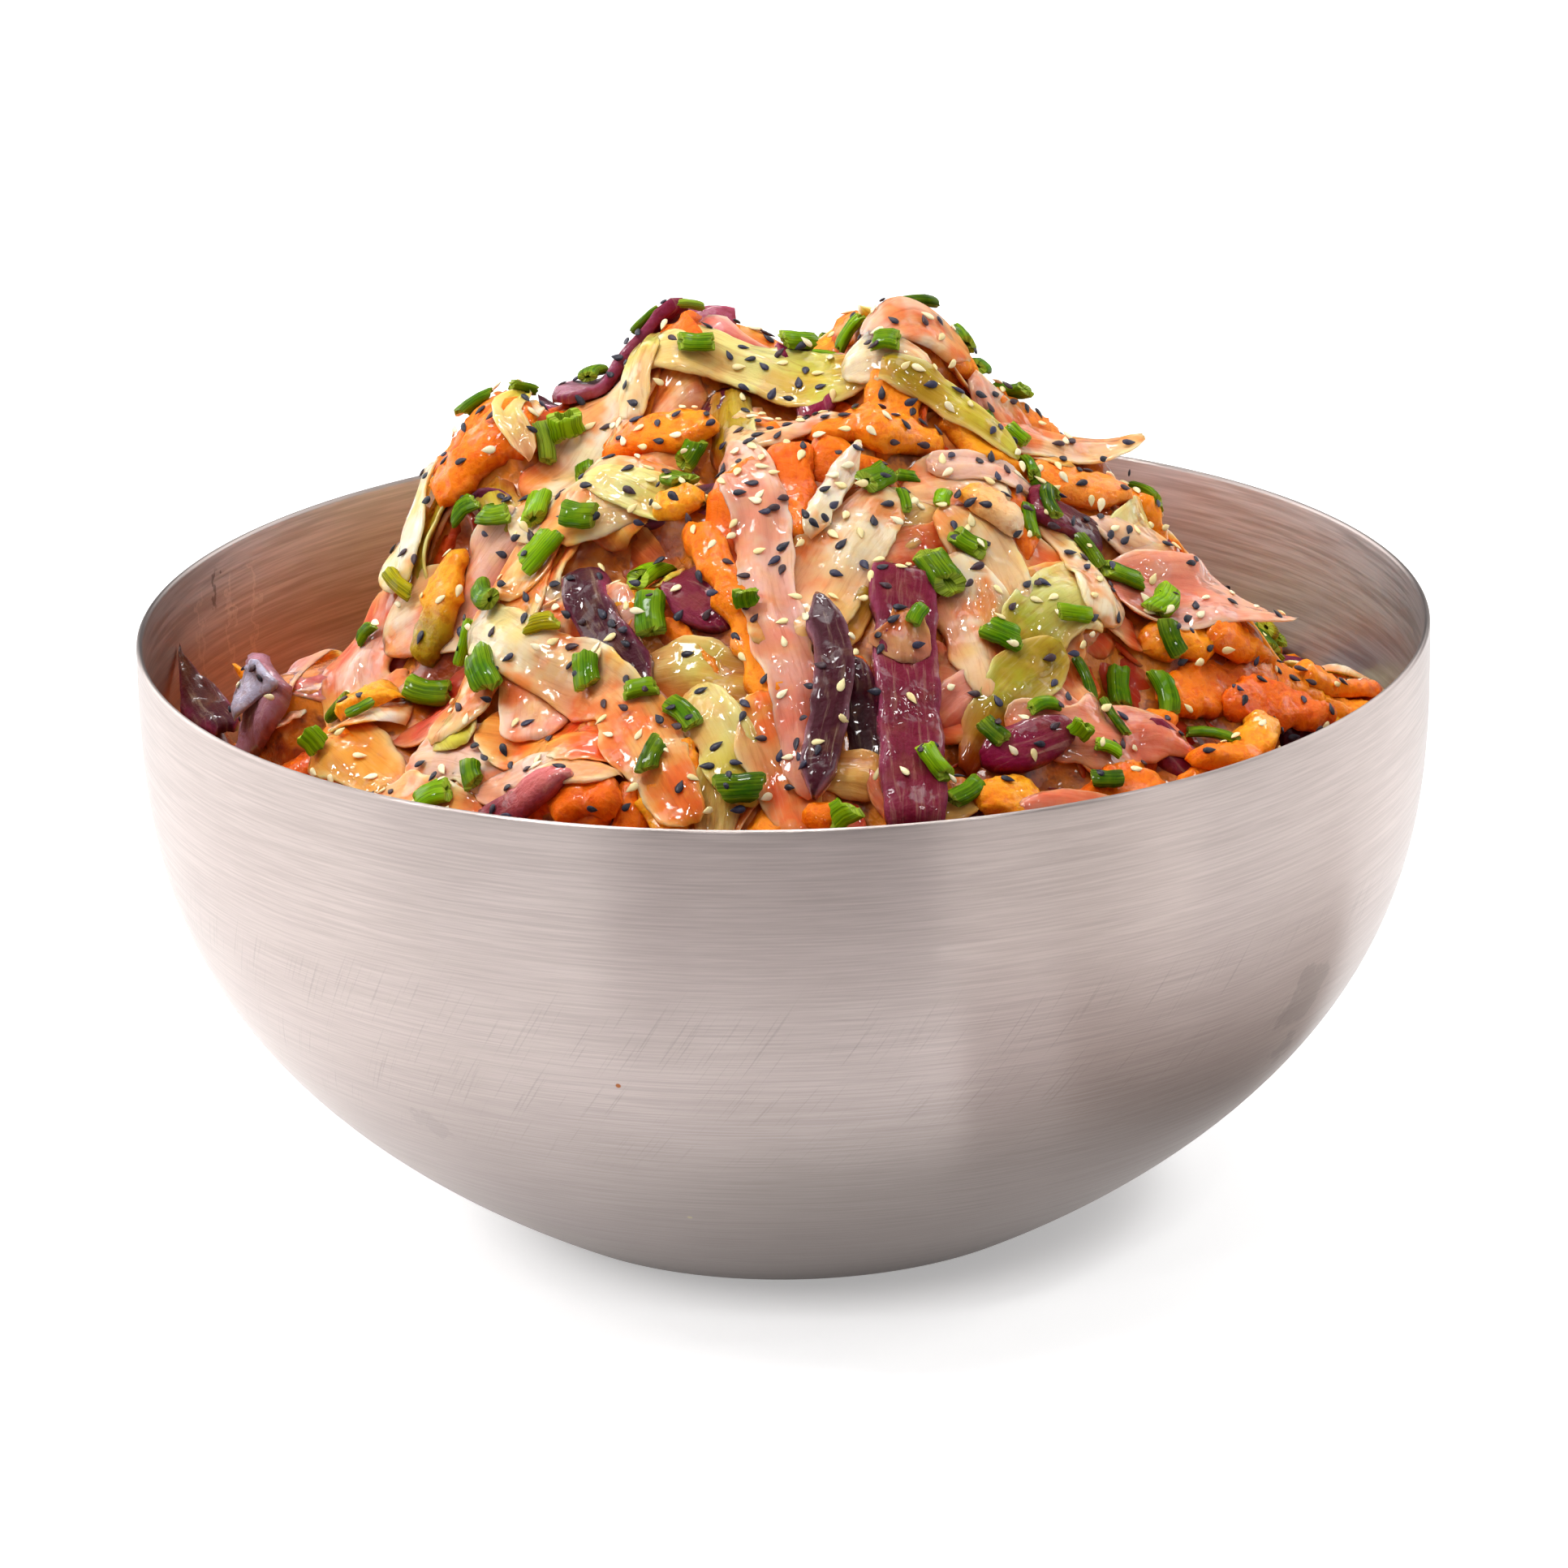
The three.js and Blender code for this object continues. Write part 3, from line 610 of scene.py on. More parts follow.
pink(14, PINK, BLUSH, (49, -37), (57, -30), (64, -24), (70, -20),
    tips=(0.4, 0.6), sharp=(0.3, 0.6), end_reach=8, lift=(0, 6), lift_reach=0.6, ragged=0.05)
carrot(7, BRIGHT_ORANGE, ORANGE, (78, -15), (85, -9), (92, -4))
white(10, CREAM, PEACH, (16, -40), (8, -53), (-1, -67), tips=(0.2, 0.5))
white(3, IVORY, CREAM, (11, -36), (8, -42), (4, -50), lift=(2.5, 0), sharp=(0.8, 0.3))
pink(7, BLUSH, PINK, (-8, -29), (-3, -42), (-2, -58), (2, -72), (4, -86))
red(5.5, WINE, None, (5, -59), (7, -70), (4, -87), tint_edge=LILAC, sharp=(1, 1), tips=(0.1, 0.1))
red(10, PLUM, None, (18, -53), (18, -70), (19, -91), thick=3, tips=(0.9, 0.8), rough=0.25)
white(7, "c88450", "b0644c", (17, -60), (18, -67), thick=0.5, ragged=0.3, tint_edge=None)
red(8, DUSK, WINE, (-93, 24), (-91, 16), (-88, 8),
    sink=-8, lift=(9, 0), lift_reach=0.7, rough=0.3, tips=(0, 0.4), sharp=(1, 0), end_reach=9)
red(13, LILAC, None, (-82, -3), (-76, -9), (-69, -12),
    sink=-3.5, thick=3, rough=0.3, tips=(0.6, 0.6), sharp=(0, 0), prop=0.4, ride_up=0, tint_edge=None)
red(8, "b2aec4", None, (-80, -7), (-75, -11), (-69, -14),
    thick=1, rough=0.2, tips=(0.6, 0.6), sharp=(0, 0), ragged=0.2, tint_edge=None)

# ---------------------------------------------------------------- chives

CHIVE_TINTS = {"bright": "6e9c00", "mid": "487600", "dark": "2c5200", "yellow": "a08a00", "pale": "84a034"}
CHIVE_RIBS = 11
CHIVE_SIZE = 0.84  # of the lengths and widths listed below
CHIVE_SQUASH = 0.56  # its height beside its width
CHIVE_RING = 28
CHIVES_REACH = 84  # of those on the far side, from the bowl's axis
# Its rings run along the skin from end to end and back through the hollow. These are their places along
# it, the width of those on the skin, and how pale each is, as at a cut.
CHIVE_ALONG = np.array([-1, -0.96, -0.5, 0, 0.5, 0.96, 1, 1, 0.5, -0.5, -1])
CHIVE_SKIN = (0.92, 1, 1.02, 0.95, 1.02, 1, 0.92)
CHIVE_CUT = np.array([0.9, 0.2, 0, 0, 0, 0.2, 0.9, 1, 0.3, 0.3, 1])[:, None, None]


def pile_frame(ground, x, y, reach):
    """The point on a pile's top at x, y, and the outward normal there, taken over a given reach."""
    xs = x + np.array([0, reach, -reach, 0, 0])
    ys = y + np.array([0, 0, 0, reach, -reach])
    base, up = heap_frame(xs, ys)
    tops = base + up * ground.at(xs, ys)[:, None]
    return tops[0], unit(np.cross(tops[1] - tops[2], tops[3] - tops[4]))


def heading_on(up, turn):
    """The unit direction square to up whose plan heading is a turn, in radians."""
    flat = np.array([math.cos(turn), math.sin(turn), 0.0])
    return unit(flat - up * flat.dot(up))


def softened(spread):
    """The pile as it stands, with its unevenness blurred over a few millimetres."""
    ground = Pile(0)
    ground.top = blur(pile.top, spread / pile.cell, spread / pile.cell)
    return ground


def chive(ground, x, y, heading, length, across, tint="mid", pitch=0, hollow=0.3, seed=0):
    """One cut length of chive: a ribbed tube, pressed flat, that lies on the pile or is pitched up.

    Heading and pitch are in degrees, and hollow is the width of its hollow beside its own.
    """
    length, across = CHIVE_SIZE * length, CHIVE_SIZE * across
    draw = np.random.default_rng(seed + 400)
    p = math.radians(pitch)
    spot, up = pile_frame(ground, x, y, 2.0)
    flat = heading_on(up, math.radians(heading))
    aside = np.cross(up, flat)
    ahead = flat * math.cos(p) + up * math.sin(p)
    upward = np.cross(ahead, aside)
    steps = np.linspace(-0.4, 0.4, 3)
    x, y = (spot[i] + flat[i] * steps[:, None] * length + aside[i] * steps * across for i in (0, 1))
    rise = (pile.at(x, y) - ground.at(x, y)).mean()
    lowest = 0.46 * across * CHIVE_SQUASH * math.cos(p) + 0.5 * length * math.sin(p)
    centre = spot + up * (rise + lowest)

    turn = np.linspace(0, 2 * np.pi, CHIVE_RING, endpoint=False)
    ribs = 1 + 0.016 * np.cos(CHIVE_RIBS * turn + draw.uniform(0, 6))
    ribs = ribs + 0.08 * np.cos(2 * turn + draw.uniform(0, 6))
    flank = np.sign(np.cos(turn)) * np.abs(np.cos(turn)) ** 0.7
    slant = draw.uniform(0, 0.3) * across * np.cos(turn - draw.uniform(0, 6))
    torn = 0.05 * across * waves(np.stack([turn * 2, turn * 0 + seed], -1), 0.5, seed + 3)
    along = CHIVE_ALONG * 0.5 * length
    size = np.array([*CHIVE_SKIN, *4 * (hollow,)]) * 0.5 * across
    ends = np.abs(along) / (0.5 * length)
    sway = draw.uniform(-0.12, 0.12) * length
    droop = draw.uniform(-0.08, 0.02) * length
    outwards = np.sign(along)[:, None] * (ends[:, None] > 0.9) * (slant + torn)
    bent = 1 - ends[:, None] ** 2
    points = (
        centre
        + ahead * (along[:, None] + outwards)[..., None]
        + aside * (size[:, None] * ribs * flank + sway * bent)[..., None]
        + upward * (size[:, None] * ribs * np.sin(turn) * CHIVE_SQUASH - droop * bent)[..., None]
    )
    skin = linear(CHIVE_TINTS[tint]) * draw.uniform(0.85, 1.15)
    around = waves(np.stack([turn * 3, turn * 0 + seed], -1), 1.2, seed + 9)[None, :, None]
    lengthwise = waves(np.stack([along, along * 0 + seed], -1), 2.0, seed + 15)[:, None, None]
    tone = np.clip(0.25 + 0.35 * around + 0.25 * lengthwise, 0, 0.7)
    colour = skin * (1 - tone) + (0.6 * skin + 0.4 * linear("a4b81c")) * tone
    colour = colour * (1 - 0.6 * CHIVE_CUT) + linear("b8c848") * 0.6 * CHIVE_CUT
    grain = np.stack(np.broadcast_arrays(along[:, None], turn * across / 2, seed * 3.1), -1)
    KINDS["chives"].add(inside_bowl(points), torus_faces(len(along), CHIVE_RING), colour, grain)
    if pitch < 30:
        foot = np.linspace(-0.5, 0.5, 5)[:, None] * length
        side = np.linspace(-0.45, 0.45, 4) * across
        x, y = (spot[i] + flat[i] * foot + aside[i] * side for i in (0, 1))
        pile.cover(x, y, ground.at(x, y) + rise + 0.9 * across * CHIVE_SQUASH)


CHIVES = [  # plan x, y, heading, length, width, then tint, pitch and hollow where they aren't the usual ones
    (-45, -1, 5, 5.6, 4.0),
    (-39, -4, 25, 4.6, 3.4, "dark"),
    (-27, -1, 70, 5.6, 3.8),
    (-32, -11, 95, 4.4, 6.0, "bright", 52, 0.55),
    (-36, -13, 125, 7.6, 3.6, "pale"),
    (-29, -18, 80, 3.8, 3.8),
    (-48, -19, 20, 6.6, 3.4),
    (-42, -24, -25, 5.4, 4.2),
    (-35, -27, 65, 6.6, 5.4, "bright"),
    (-28, -36, -25, 6.2, 5.2),
    (-34, -37, 30, 6.6, 5.4, "bright"),
    (-20, -49, 50, 6.4, 6.0, "bright"),
    (-19, -57, 82, 7.8, 6.0),
    (-41, -38, 105, 8.2, 4.6),
    (-47, -36, -8, 7.6, 4.0, "bright"),
    (-34, -49, -8, 5.4, 3.6, "yellow"),
    (-56, -33, -22, 8.0, 5.4),
    (-43, -51, 78, 6.4, 6.6),
    (-66, -24, -38, 5.6, 4.6, "dark"),
    (-28, -60, 62, 6.0, 5.0),
    (-14, -37, 112, 8.0, 4.6),
    (-12, -9, 5, 6.0, 4.0),
    (3, -5, 20, 5.6, 5.0, "bright"),
    (6, -1, 0, 7.6, 2.6, "bright"),
    (12, -3, 12, 7.4, 4.0, "bright"),
    (17, -15, -10, 4.8, 4.4),
    (10, -21, 40, 4.8, 3.4),
    (-14, -26, 80, 5.4, 3.8),
    (27, -2, 115, 6.6, 4.0, "mid", 25),
    (31, -2, 60, 4.6, 3.6, "mid", 30),
    (27, -16, 80, 4.2, 3.0),
    (34, -14, 118, 8.4, 3.0),
    (37, -13, -40, 4.6, 3.2, "bright"),
    (36, -23, -35, 5.0, 3.8),
    (39, -26, -35, 5.4, 3.6, "dark"),
    (37, -35, -60, 7.4, 3.2),
    (39, -30, 120, 7.0, 3.0, "dark"),
    (54, -6, -32, 8.2, 4.2),
    (36, -1, -50, 7.4, 4.2, "mid", 10),
    (19, -35, 8, 4.2, 2.6),
    (14, -39, 55, 6.6, 4.8),
    (18, -42, 110, 5.0, 2.2),
    (24, -39, 80, 3.6, 3.0, "bright"),
    (27, -46, -32, 5.4, 4.4),
    (23, -52, -55, 8.2, 6.4),
    (32, -58, -20, 5.6, 5.2),
    (-5, -60, 90, 2.6, 4.6, "mid", 60, 0.45),
    (-21, -67, 10, 5.4, 3.6),
    (-15, -72, 115, 8.0, 3.8),
    (-19, -78, 65, 6.2, 3.8, "dark"),
    (-7, -84, 5, 6.4, 5.0, "dark"),
    (-7, -90, 30, 4.6, 3.6),
    (7, -89, 60, 4.0, 4.8, "bright", 35),
    (21, -82, -42, 7.0, 4.4, "bright"),
    (26, -84, 58, 7.6, 4.0),
    (31, -74, 118, 5.6, 3.4, "dark"),
    (38, -68, 30, 5.6, 3.2),
    (42, -70, 95, 2.6, 4.4, "bright", 55, 0.5),
    (47, -69, -4, 4.8, 3.0, "bright"),
    (47, -74, 5, 5.0, 3.8, "dark"),
    (52, -80, 70, 6.8, 3.2, "dark"),
    (53, -50, 110, 7.6, 4.4),
    (58, -49, 106, 9.6, 4.2),
    (65, -51, -8, 9.6, 3.0),
    (55, -35, 70, 7.0, 5.4, "bright"),
    (57, -41, -60, 6.0, 4.0, "dark"),
    (50, -33, 10, 8.0, 4.6),
    (45, -33, -30, 6.0, 3.6, "dark"),
    (42, -50, 6, 6.4, 3.0, "bright"),
    (45, -57, -35, 8.0, 3.0, "dark"),
    (49, -62, -35, 8.0, 2.6, "dark"),
    (-52, -64, 4, 6.4, 5.0, "bright"),
    (-46, -64, 80, 4.8, 4.2),
    (-67, -38, 85, 3.0, 5.4, "bright", 55, 0.5),
    (-62, -35, 20, 4.4, 2.6),
    (-75, -2, 75, 7.6, 3.4, "bright"),
    (-58, -17, 95, 7.0, 3.4, "yellow"),
    (-63, -15, 10, 4.0, 3.0),
    (19, -61, 80, 4.4, 3.0),
    (-17, 2, 160, 6.6, 2.6),
    (-12, 2, 200, 4.6, 3.0, "pale"),
    (20, 0, 24, 8.6, 3.6, "dark", 26),
]
packed = softened(2.0)
for number, row in enumerate(CHIVES):
    chive(packed, *row, seed=number)


def strew_chives(draw, count):
    """Chives on the far side, which carries as many as the near one."""
    for i in range(count):
        r = CHIVES_REACH * math.sqrt(draw.uniform(0.02, 1))
        turn = draw.uniform(0.04, 0.96) * math.pi
        x, y = r * math.cos(turn), r * math.sin(turn) + 3
        heading, length, across = (draw.uniform(*ends) for ends in ((0, 180), (3.6, 8.4), (3.0, 5.6)))
        tint = draw.choice(["mid", "mid", "bright", "dark", "yellow"])
        chive(packed, x, y, heading, length, across, tint, seed=600 + i)


strew_chives(np.random.default_rng(31), 74)

# ---------------------------------------------------------------- sesame

SESAME = (2.1, 1.2, 0.5)  # length, width and thickness of a seed
SEEDS_APART = 3.0  # at most, between the middles of two that lie closest
SEEDS_REACH = 88  # from the bowl's axis
BLACK_TINTS = ("1e1c28", "24222e", "181620", "2a2840", "3c2022")
WHITE_TINTS = ("f8ecbe", "f6e6ac", "fcf2cc", "f2dea0")


def seed_shape():
    """A teardrop of unit length, width and thickness, as rings from its round end to its tip."""
    run = np.array([-0.5, -0.46, -0.34, -0.12, 0.14, 0.36, 0.5])
    size = np.array([0.12, 0.26, 0.42, 0.5, 0.38, 0.18, 0.04])
    turn = np.linspace(0, 2 * np.pi, 8, endpoint=False)
    ring = np.stack([0 * turn, np.cos(turn), np.sin(turn)], -1)
    return run[:, None, None] * np.array([1.0, 0, 0]) + size[:, None, None] * ring


def strew_seeds(kind, tints, ground, draw, spots):
    """Seeds that lie flat on the pile's top, each turned its own way."""
    shape = seed_shape()
    faces = loft_faces(*shape.shape[:2])
    for i, (x, y) in enumerate(spots):
        spot, up = pile_frame(ground, x, y, 0.9)
        ahead = heading_on(up, draw.uniform(0, 2 * math.pi))
        ahead = unit(ahead + up * draw.normal(0, 0.1))
        aside = unit(np.cross(up, ahead))
        axes = np.stack([ahead, aside, np.cross(ahead, aside)])
        size = np.array(SESAME) * draw.uniform(0.85, 1.12)
        rise = max(0, pile.at(x, y) - ground.at(x, y))
        centre = spot + up * (0.6 * rise + 0.25 * SESAME[2])
        points = inside_bowl(centre + (shape * size) @ axes)
        tint = linear(draw.choice(tints)) * draw.uniform(0.85, 1.15)
        kind.add(points, faces, tint, shape * size + i * 3.0)


def seed_spots(ground, crowd, draw, count, thickest, reach, taken):
    """Plan points clear of the clefts and of each other, closest together round the thickest place."""
    spots = []
    while len(spots) < count:
        r = SEEDS_REACH * math.sqrt(draw.uniform(0, 1))
        turn = draw.uniform(0, 2 * math.pi)
        x, y = r * math.cos(turn), r * math.sin(turn)
        far = math.hypot(x - thickest[0], y - thickest[1])
        if draw.uniform(0, 1) > 0.3 + 0.7 * math.exp(-((far / reach) ** 2)):
            continue
        low = ground.at(x, y) < crowd.at(x, y) - 0.7
        near = taken and min(math.hypot(x - a, y - b) for a, b in taken) < SEEDS_APART * draw.uniform(0.3, 1)
        if not low and not near:
            spots.append((x, y))
            taken.append((x, y))
    return spots


chance = np.random.default_rng(77)
skin, crowd = softened(0.8), softened(4.0)
taken = []
for name, tints, count, thickest, reach in (
    ("black_sesame", BLACK_TINTS, 620, (5, -22), 55),
    ("white_sesame", WHITE_TINTS, 470, (18, -18), 42),
):
    spots = seed_spots(skin, crowd, chance, count, thickest, reach, taken)
    strew_seeds(KINDS[name], tints, skin, chance, spots)

for name in (*CABBAGES, "carrot_shreds", "red_cabbage"):
    # In the gaps the tints turn orange, for dressing that pools there and for the shade that falls there;
    # deeper down they turn dark brown, which is painted shade.
    KINDS[name].pool(crowd, *(("f07c24", 3.4, 0.9) if name in CABBAGES else ("c87848", 3.4, 0.8)))
    KINDS[name].pool(crowd, "90402c", 7.0, 0.9)
# Painted shade on the cabbage, low in front and on the right.
for name in CABBAGES:
    KINDS[name].shade_low_front_right("e4a068", 0.75)

# ---------------------------------------------------------------- core


def core_piece(kind):
    """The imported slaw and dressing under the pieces: it fills the bowl and wells up between them."""
    well = blur(pile.top, 2.5, 2.5) - 2.6
    soft = Pile(0)
    soft.top = np.minimum(well, blur(pile.top, 0.7, 0.7) - 0.4)
    sectors, rings, depth = 240, 84, 12
    turn = np.linspace(0, 2 * np.pi, sectors, endpoint=False)
    inset = WALL + FOOD_GAP
    level = np.full(sectors, HEIGHT - 16.0)
    for _ in range(6):
        edge, _ = side_point(level, inset)
        rim_x, rim_y = edge * np.cos(turn), edge * np.sin(turn)
        level = heap_height(rim_x, rim_y) + soft.at(rim_x, rim_y)
    share = (np.arange(rings) + 0.5) / rings
    x = edge * np.cos(turn) * share[:, None]
    y = edge * np.sin(turn) * share[:, None]
    base, up = heap_frame(x, y)
    top = inside_bowl(base + up * soft.at(x, y)[..., None])
    r, z = side_point(np.maximum(level * (np.linspace(1, 0.02, depth) ** 1.3)[:, None], 1.0), inset)
    loops = np.concatenate([top, circles(r, np.maximum(z, inset), turn)])
    kind.add(loops, loft_faces(len(loops), sectors), linear("e39a58"), loops)


core = Kind("slaw_core")
core_piece(core)

# ---------------------------------------------------------------- bowl


def bowl_piece(kind):
    """One turned sheet: base, bend and side outside, the rounded lip, then the same inside."""
    sectors = 288
    lip = WALL / 2
    side_top = HEIGHT - lip
    heights = FOOT_BEND + (side_top - FOOT_BEND) * np.linspace(0, 1, 42) ** 1.5
    bend = [
        (FOOT_RADIUS - FOOT_BEND + FOOT_BEND * 1.25 * math.sin(a), FOOT_BEND * (1 - math.cos(a)))
        for a in np.linspace(0.15, 1.05, 5)
    ]
    lip_arc = [
        (RIM_RADIUS - lip + lip * math.cos(a), side_top + lip * math.sin(a))
        for a in np.linspace(0.25, math.pi - 0.25, 7)
    ]
    base = np.linspace(0.6, FOOT_RADIUS - FOOT_BEND, 12)
    outside = [(r, 0.0) for r in base] + bend + [side_point(z, 0) for z in heights] + lip_arc
    inside = [side_point(z, WALL) for z in heights[::-1]] + [(r, WALL) for r in base[::-1]]
    r, z = np.array(outside + inside, float).T
    turn = np.linspace(0, 2 * np.pi, sectors, endpoint=False)
    rings = circles(r[:, None], z[:, None], turn)
    # The outside is painted darker towards the foot, and more on the right: a painted reflection of the
    # shaded floor. The inside is painted with a reflection of the slaw, orange on the left and grey on the
    # right, fading out towards the rim.
    right = 0.5 + 0.5 * np.cos(turn)[None, :, None]
    left_painted_dark, right_painted_dark = (
        np.interp(z, (0, 14, 34, 52, 75), shades)[:, None, None]
        for shades in ((0.3, 0.44, 0.64, 0.73, 0.8), (0.27, 0.34, 0.42, 0.66, 0.8))
    )
    painted_dark_outside = (left_painted_dark + (right_painted_dark - left_painted_dark) * np.clip(2 * right, 0, 1)) * linear("fffcf8")
    # How far the painted reflection inside fades out towards the rim.
    film = np.clip((z - 76) / 20, 0, 1)[:, None, None]
    painted_inside_reflection = (linear("d69a72") * (1 - right) + linear("c6d6d6") * right) * (1 - film) + film
    inner = (np.arange(len(r)) >= len(outside))[:, None, None]
    kind.add(rings, loft_faces(len(r), sectors), np.where(inner, painted_inside_reflection, painted_dark_outside), inner * np.ones_like(rings))


bowl = Kind("brushed_bowl")
bowl_piece(bowl)

# ---------------------------------------------------------------- materials


class Surface:
    """A material with one Principled shader, and short ways to add nodes to it."""

    def __init__(self, name):
        self.material = bpy.data.materials.new(name)
        self.material.use_nodes = True
        self.tree = self.material.node_tree
        self.tree.nodes.clear()
        output = self.tree.nodes.new("ShaderNodeOutputMaterial")
        self.shader = self.tree.nodes.new("ShaderNodeBsdfPrincipled")
        self.tree.links.new(self.shader.outputs[0], output.inputs["Surface"])

    def put(self, socket, value):
        """Links a socket, or sets it. A text is a colour's six hexadecimal digits."""
        if isinstance(value, bpy.types.NodeSocket):
            self.tree.links.new(value, socket)
        else:
            socket.default_value = (*linear(value), 1.0) if isinstance(value, str) else value

    def set(self, **values):
        for name, value in values.items():
            self.put(self.shader.inputs[name.replace("_", " ")], value)
        return self.material

    def node(self, kind, values=None, **settings):
        made = self.tree.nodes.new("ShaderNode" + kind)
        for name, value in settings.items():
            setattr(made, name, value)
        for name, value in (values or {}).items():
            self.put(made.inputs[name], value)
        return made

    def attribute(self, name, output):
        return self.node("Attribute", attribute_name=name).outputs[output]

    def place(self):
        return self.node("TexCoord").outputs["Object"]

    def vector(self, operation, a, b, output="Vector"):
        return self.node("VectorMath", {0: a, 1: b}, operation=operation).outputs[output]

    def distance(self, centre):
        """How far the surface is from a point, in metres."""
        return self.vector("DISTANCE", self.place(), centre, "Value")

    def noise(self, vector, scale, detail=3.0, roughness=0.5, distortion=0.0):
        values = {"Vector": vector, "Scale": scale, "Detail": detail, "Roughness": roughness}
        return self.node("TexNoise", {**values, "Distortion": distortion}).outputs["Fac"]

    def ramp(self, value, low, high, to_low=0.0, to_high=1.0):
        values = {"Value": value, "From Min": low, "From Max": high, "To Min": to_low, "To Max": to_high}
        return self.node("MapRange", values, interpolation_type="SMOOTHSTEP").outputs[0]

    def math(self, operation, a, b=0.0):
        return self.node("Math", {0: a, 1: b}, operation=operation).outputs[0]

    def plus(self, a, b):
        return self.math("ADD", a, b)

    def times(self, a, b):
        return self.math("MULTIPLY", a, b)

    def mix(self, share, a, b, blend="MIX"):
        made = self.node("Mix", data_type="RGBA", blend_type=blend)
        for name, value in (("Factor_Float", share), ("A_Color", a), ("B_Color", b)):
            socket = next(s for s in made.inputs if s.identifier == name)
            self.put(socket, value)
        return next(s for s in made.outputs if s.identifier == "Result_Color")

    def tinge(self, base, colour, field, low, high, most=1.0):
        """A base colour with another mixed in: none where a field is low, and most where it is high."""
        return self.mix(self.ramp(field, low, high, 0.0, most), base, colour)

    def seen_through(self, base, colour):
        return self.mix(1.0, base, colour, "MULTIPLY")

    def bump(self, height, strength, distance):
        return self.node("Bump", {"Height": height, "Strength": strength, "Distance": distance}).outputs[0]


DRESSING = "f2b868"


def vegetable(name, veins, warmth, veil, fine, bite, gloss, glow):
    """Raw shredded vegetable, wet with dressing: tinted by piece, veined along its length."""
    s = Surface(name)
    tint, grain, place = s.attribute("tint", "Color"), s.attribute("grain", "Vector"), s.place()
    streaks = s.noise(s.vector("MULTIPLY", grain, (0.13, 1.15, 1.0)), 1.0, 4.0, 0.6, 0.6)
    orange, yellow = s.seen_through(tint, "ff9c38"), s.seen_through(tint, "fff07c")
    tinged = s.tinge(tint, orange, s.noise(place, 95.0, 3.0, 0.6), 0.44, 0.6, warmth)
    tinged = s.tinge(tinged, yellow, s.noise(place, 61.0, 2.0, 0.6), 0.5, 0.62, 0.6 * warmth)
    shaded = s.tinge(tinged, s.seen_through(tinged, "c78c5c"), streaks, 0.5, 0.3, veins)
    lit = s.tinge(shaded, s.mix(0.25, tinged, "ffe4b8"), streaks, 0.52, 0.72, veins)
    pits = s.noise(place, fine, 3.0, 0.6)
    # The pits are darker where the same noise sinks the bump: the flesh's own uneven tone, and painted shade
    # in the dents.
    pitted = s.tinge(lit, s.seen_through(lit, "e08c5c"), pits, 0.52, 0.36, 0.2 * bite)
    dressed = s.tinge(pitted, DRESSING, s.noise(place, 230.0, 3.0, 0.55), 0.5, 0.68, veil)
    relief = s.plus(s.times(streaks, veins), s.times(pits, bite))
    wet = s.noise(place, 180.0, 2.0, 0.5)
    film = s.noise(place, 330.0, 0.6, 0.4, 0.8)
    return s.set(
        Base_Color=dressed,
        Roughness=s.ramp(wet, 0.35, 0.65, 0.3, 0.5),
        Subsurface_Weight=glow,
        Subsurface_Scale=0.003,
        Subsurface_Radius=(1.0, 0.7, 0.35),
        Specular_IOR_Level=0.12,
        Coat_Weight=s.ramp(wet, 0.46, 0.52, gloss, 0.0),
        Coat_Roughness=0.06,
        Coat_Normal=s.bump(film, 0.6, 0.0012),
        Normal=s.bump(relief, 0.4, 0.0006),
    )


def chive_material():
    s = Surface("chive_skin")
    tint, grain = s.attribute("tint", "Color"), s.attribute("grain", "Vector")
    ribs = s.noise(s.vector("MULTIPLY", grain, (0.08, 3.4, 1.0)), 1.0, 3.0, 0.6)
    spots = s.noise(s.place(), 700.0, 2.0)
    shaded = s.tinge(tint, s.seen_through(tint, "949c40"), ribs, 0.52, 0.4, 0.7)
    lined = s.tinge(shaded, "a4b400", ribs, 0.56, 0.68, 0.3)
    return s.set(
        Base_Color=s.tinge(lined, "98ac00", spots, 0.5, 0.75, 0.15),
        Roughness=0.45,
        Specular_IOR_Level=0.04,
        Subsurface_Weight=0.1,
        Subsurface_Scale=0.001,
        Subsurface_Radius=(0.6, 1.0, 0.1),
        Coat_Weight=s.ramp(spots, 0.4, 0.5, 0.45, 0.0),
        Coat_Roughness=0.08,
        Normal=s.bump(ribs, 0.4, 0.0004),
    )


def seed_material(name, pale):
    s = Surface(name)
    dapple = s.noise(s.attribute("grain", "Vector"), 1.6, 3.0)
    return s.set(
        Base_Color=s.tinge(s.attribute("tint", "Color"), pale, dapple, 0.35, 0.7, 0.35),
        Roughness=0.4,
        Specular_IOR_Level=0.25,
        Coat_Weight=0.1,
        Coat_Roughness=0.15,
        Normal=s.bump(dapple, 0.3, 0.0002),
    )


def core_material():
    """Wet dressing and fine shreds between the pieces: their dark browns and near-black wine are partly their
    own colour, partly painted shade in the gaps.
    """
    s = Surface("dressed_core")
    place = s.place()
    small = s.noise(place, 330.0, 3.0, 0.6)
    base = s.tinge("8c3404", "dc7e20", s.noise(place, 70.0, 3.0, 0.6), 0.4, 0.62)
    mixed = s.tinge(base, "4c0c10", small, 0.5, 0.7, 0.7)
    return s.set(
        Base_Color=s.tinge(mixed, DRESSING, s.noise(place, 190.0, 2.0), 0.58, 0.76, 0.5),
        Roughness=s.ramp(small, 0.3, 0.7, 0.22, 0.42),
        Specular_IOR_Level=0.25,
        Subsurface_Weight=0.1,
        Subsurface_Scale=0.002,
        Subsurface_Radius=(1.0, 0.5, 0.3),
        Coat_Weight=0.4,
        Coat_Roughness=0.05,
        Normal=s.bump(small, 0.5, 0.0012),
    )


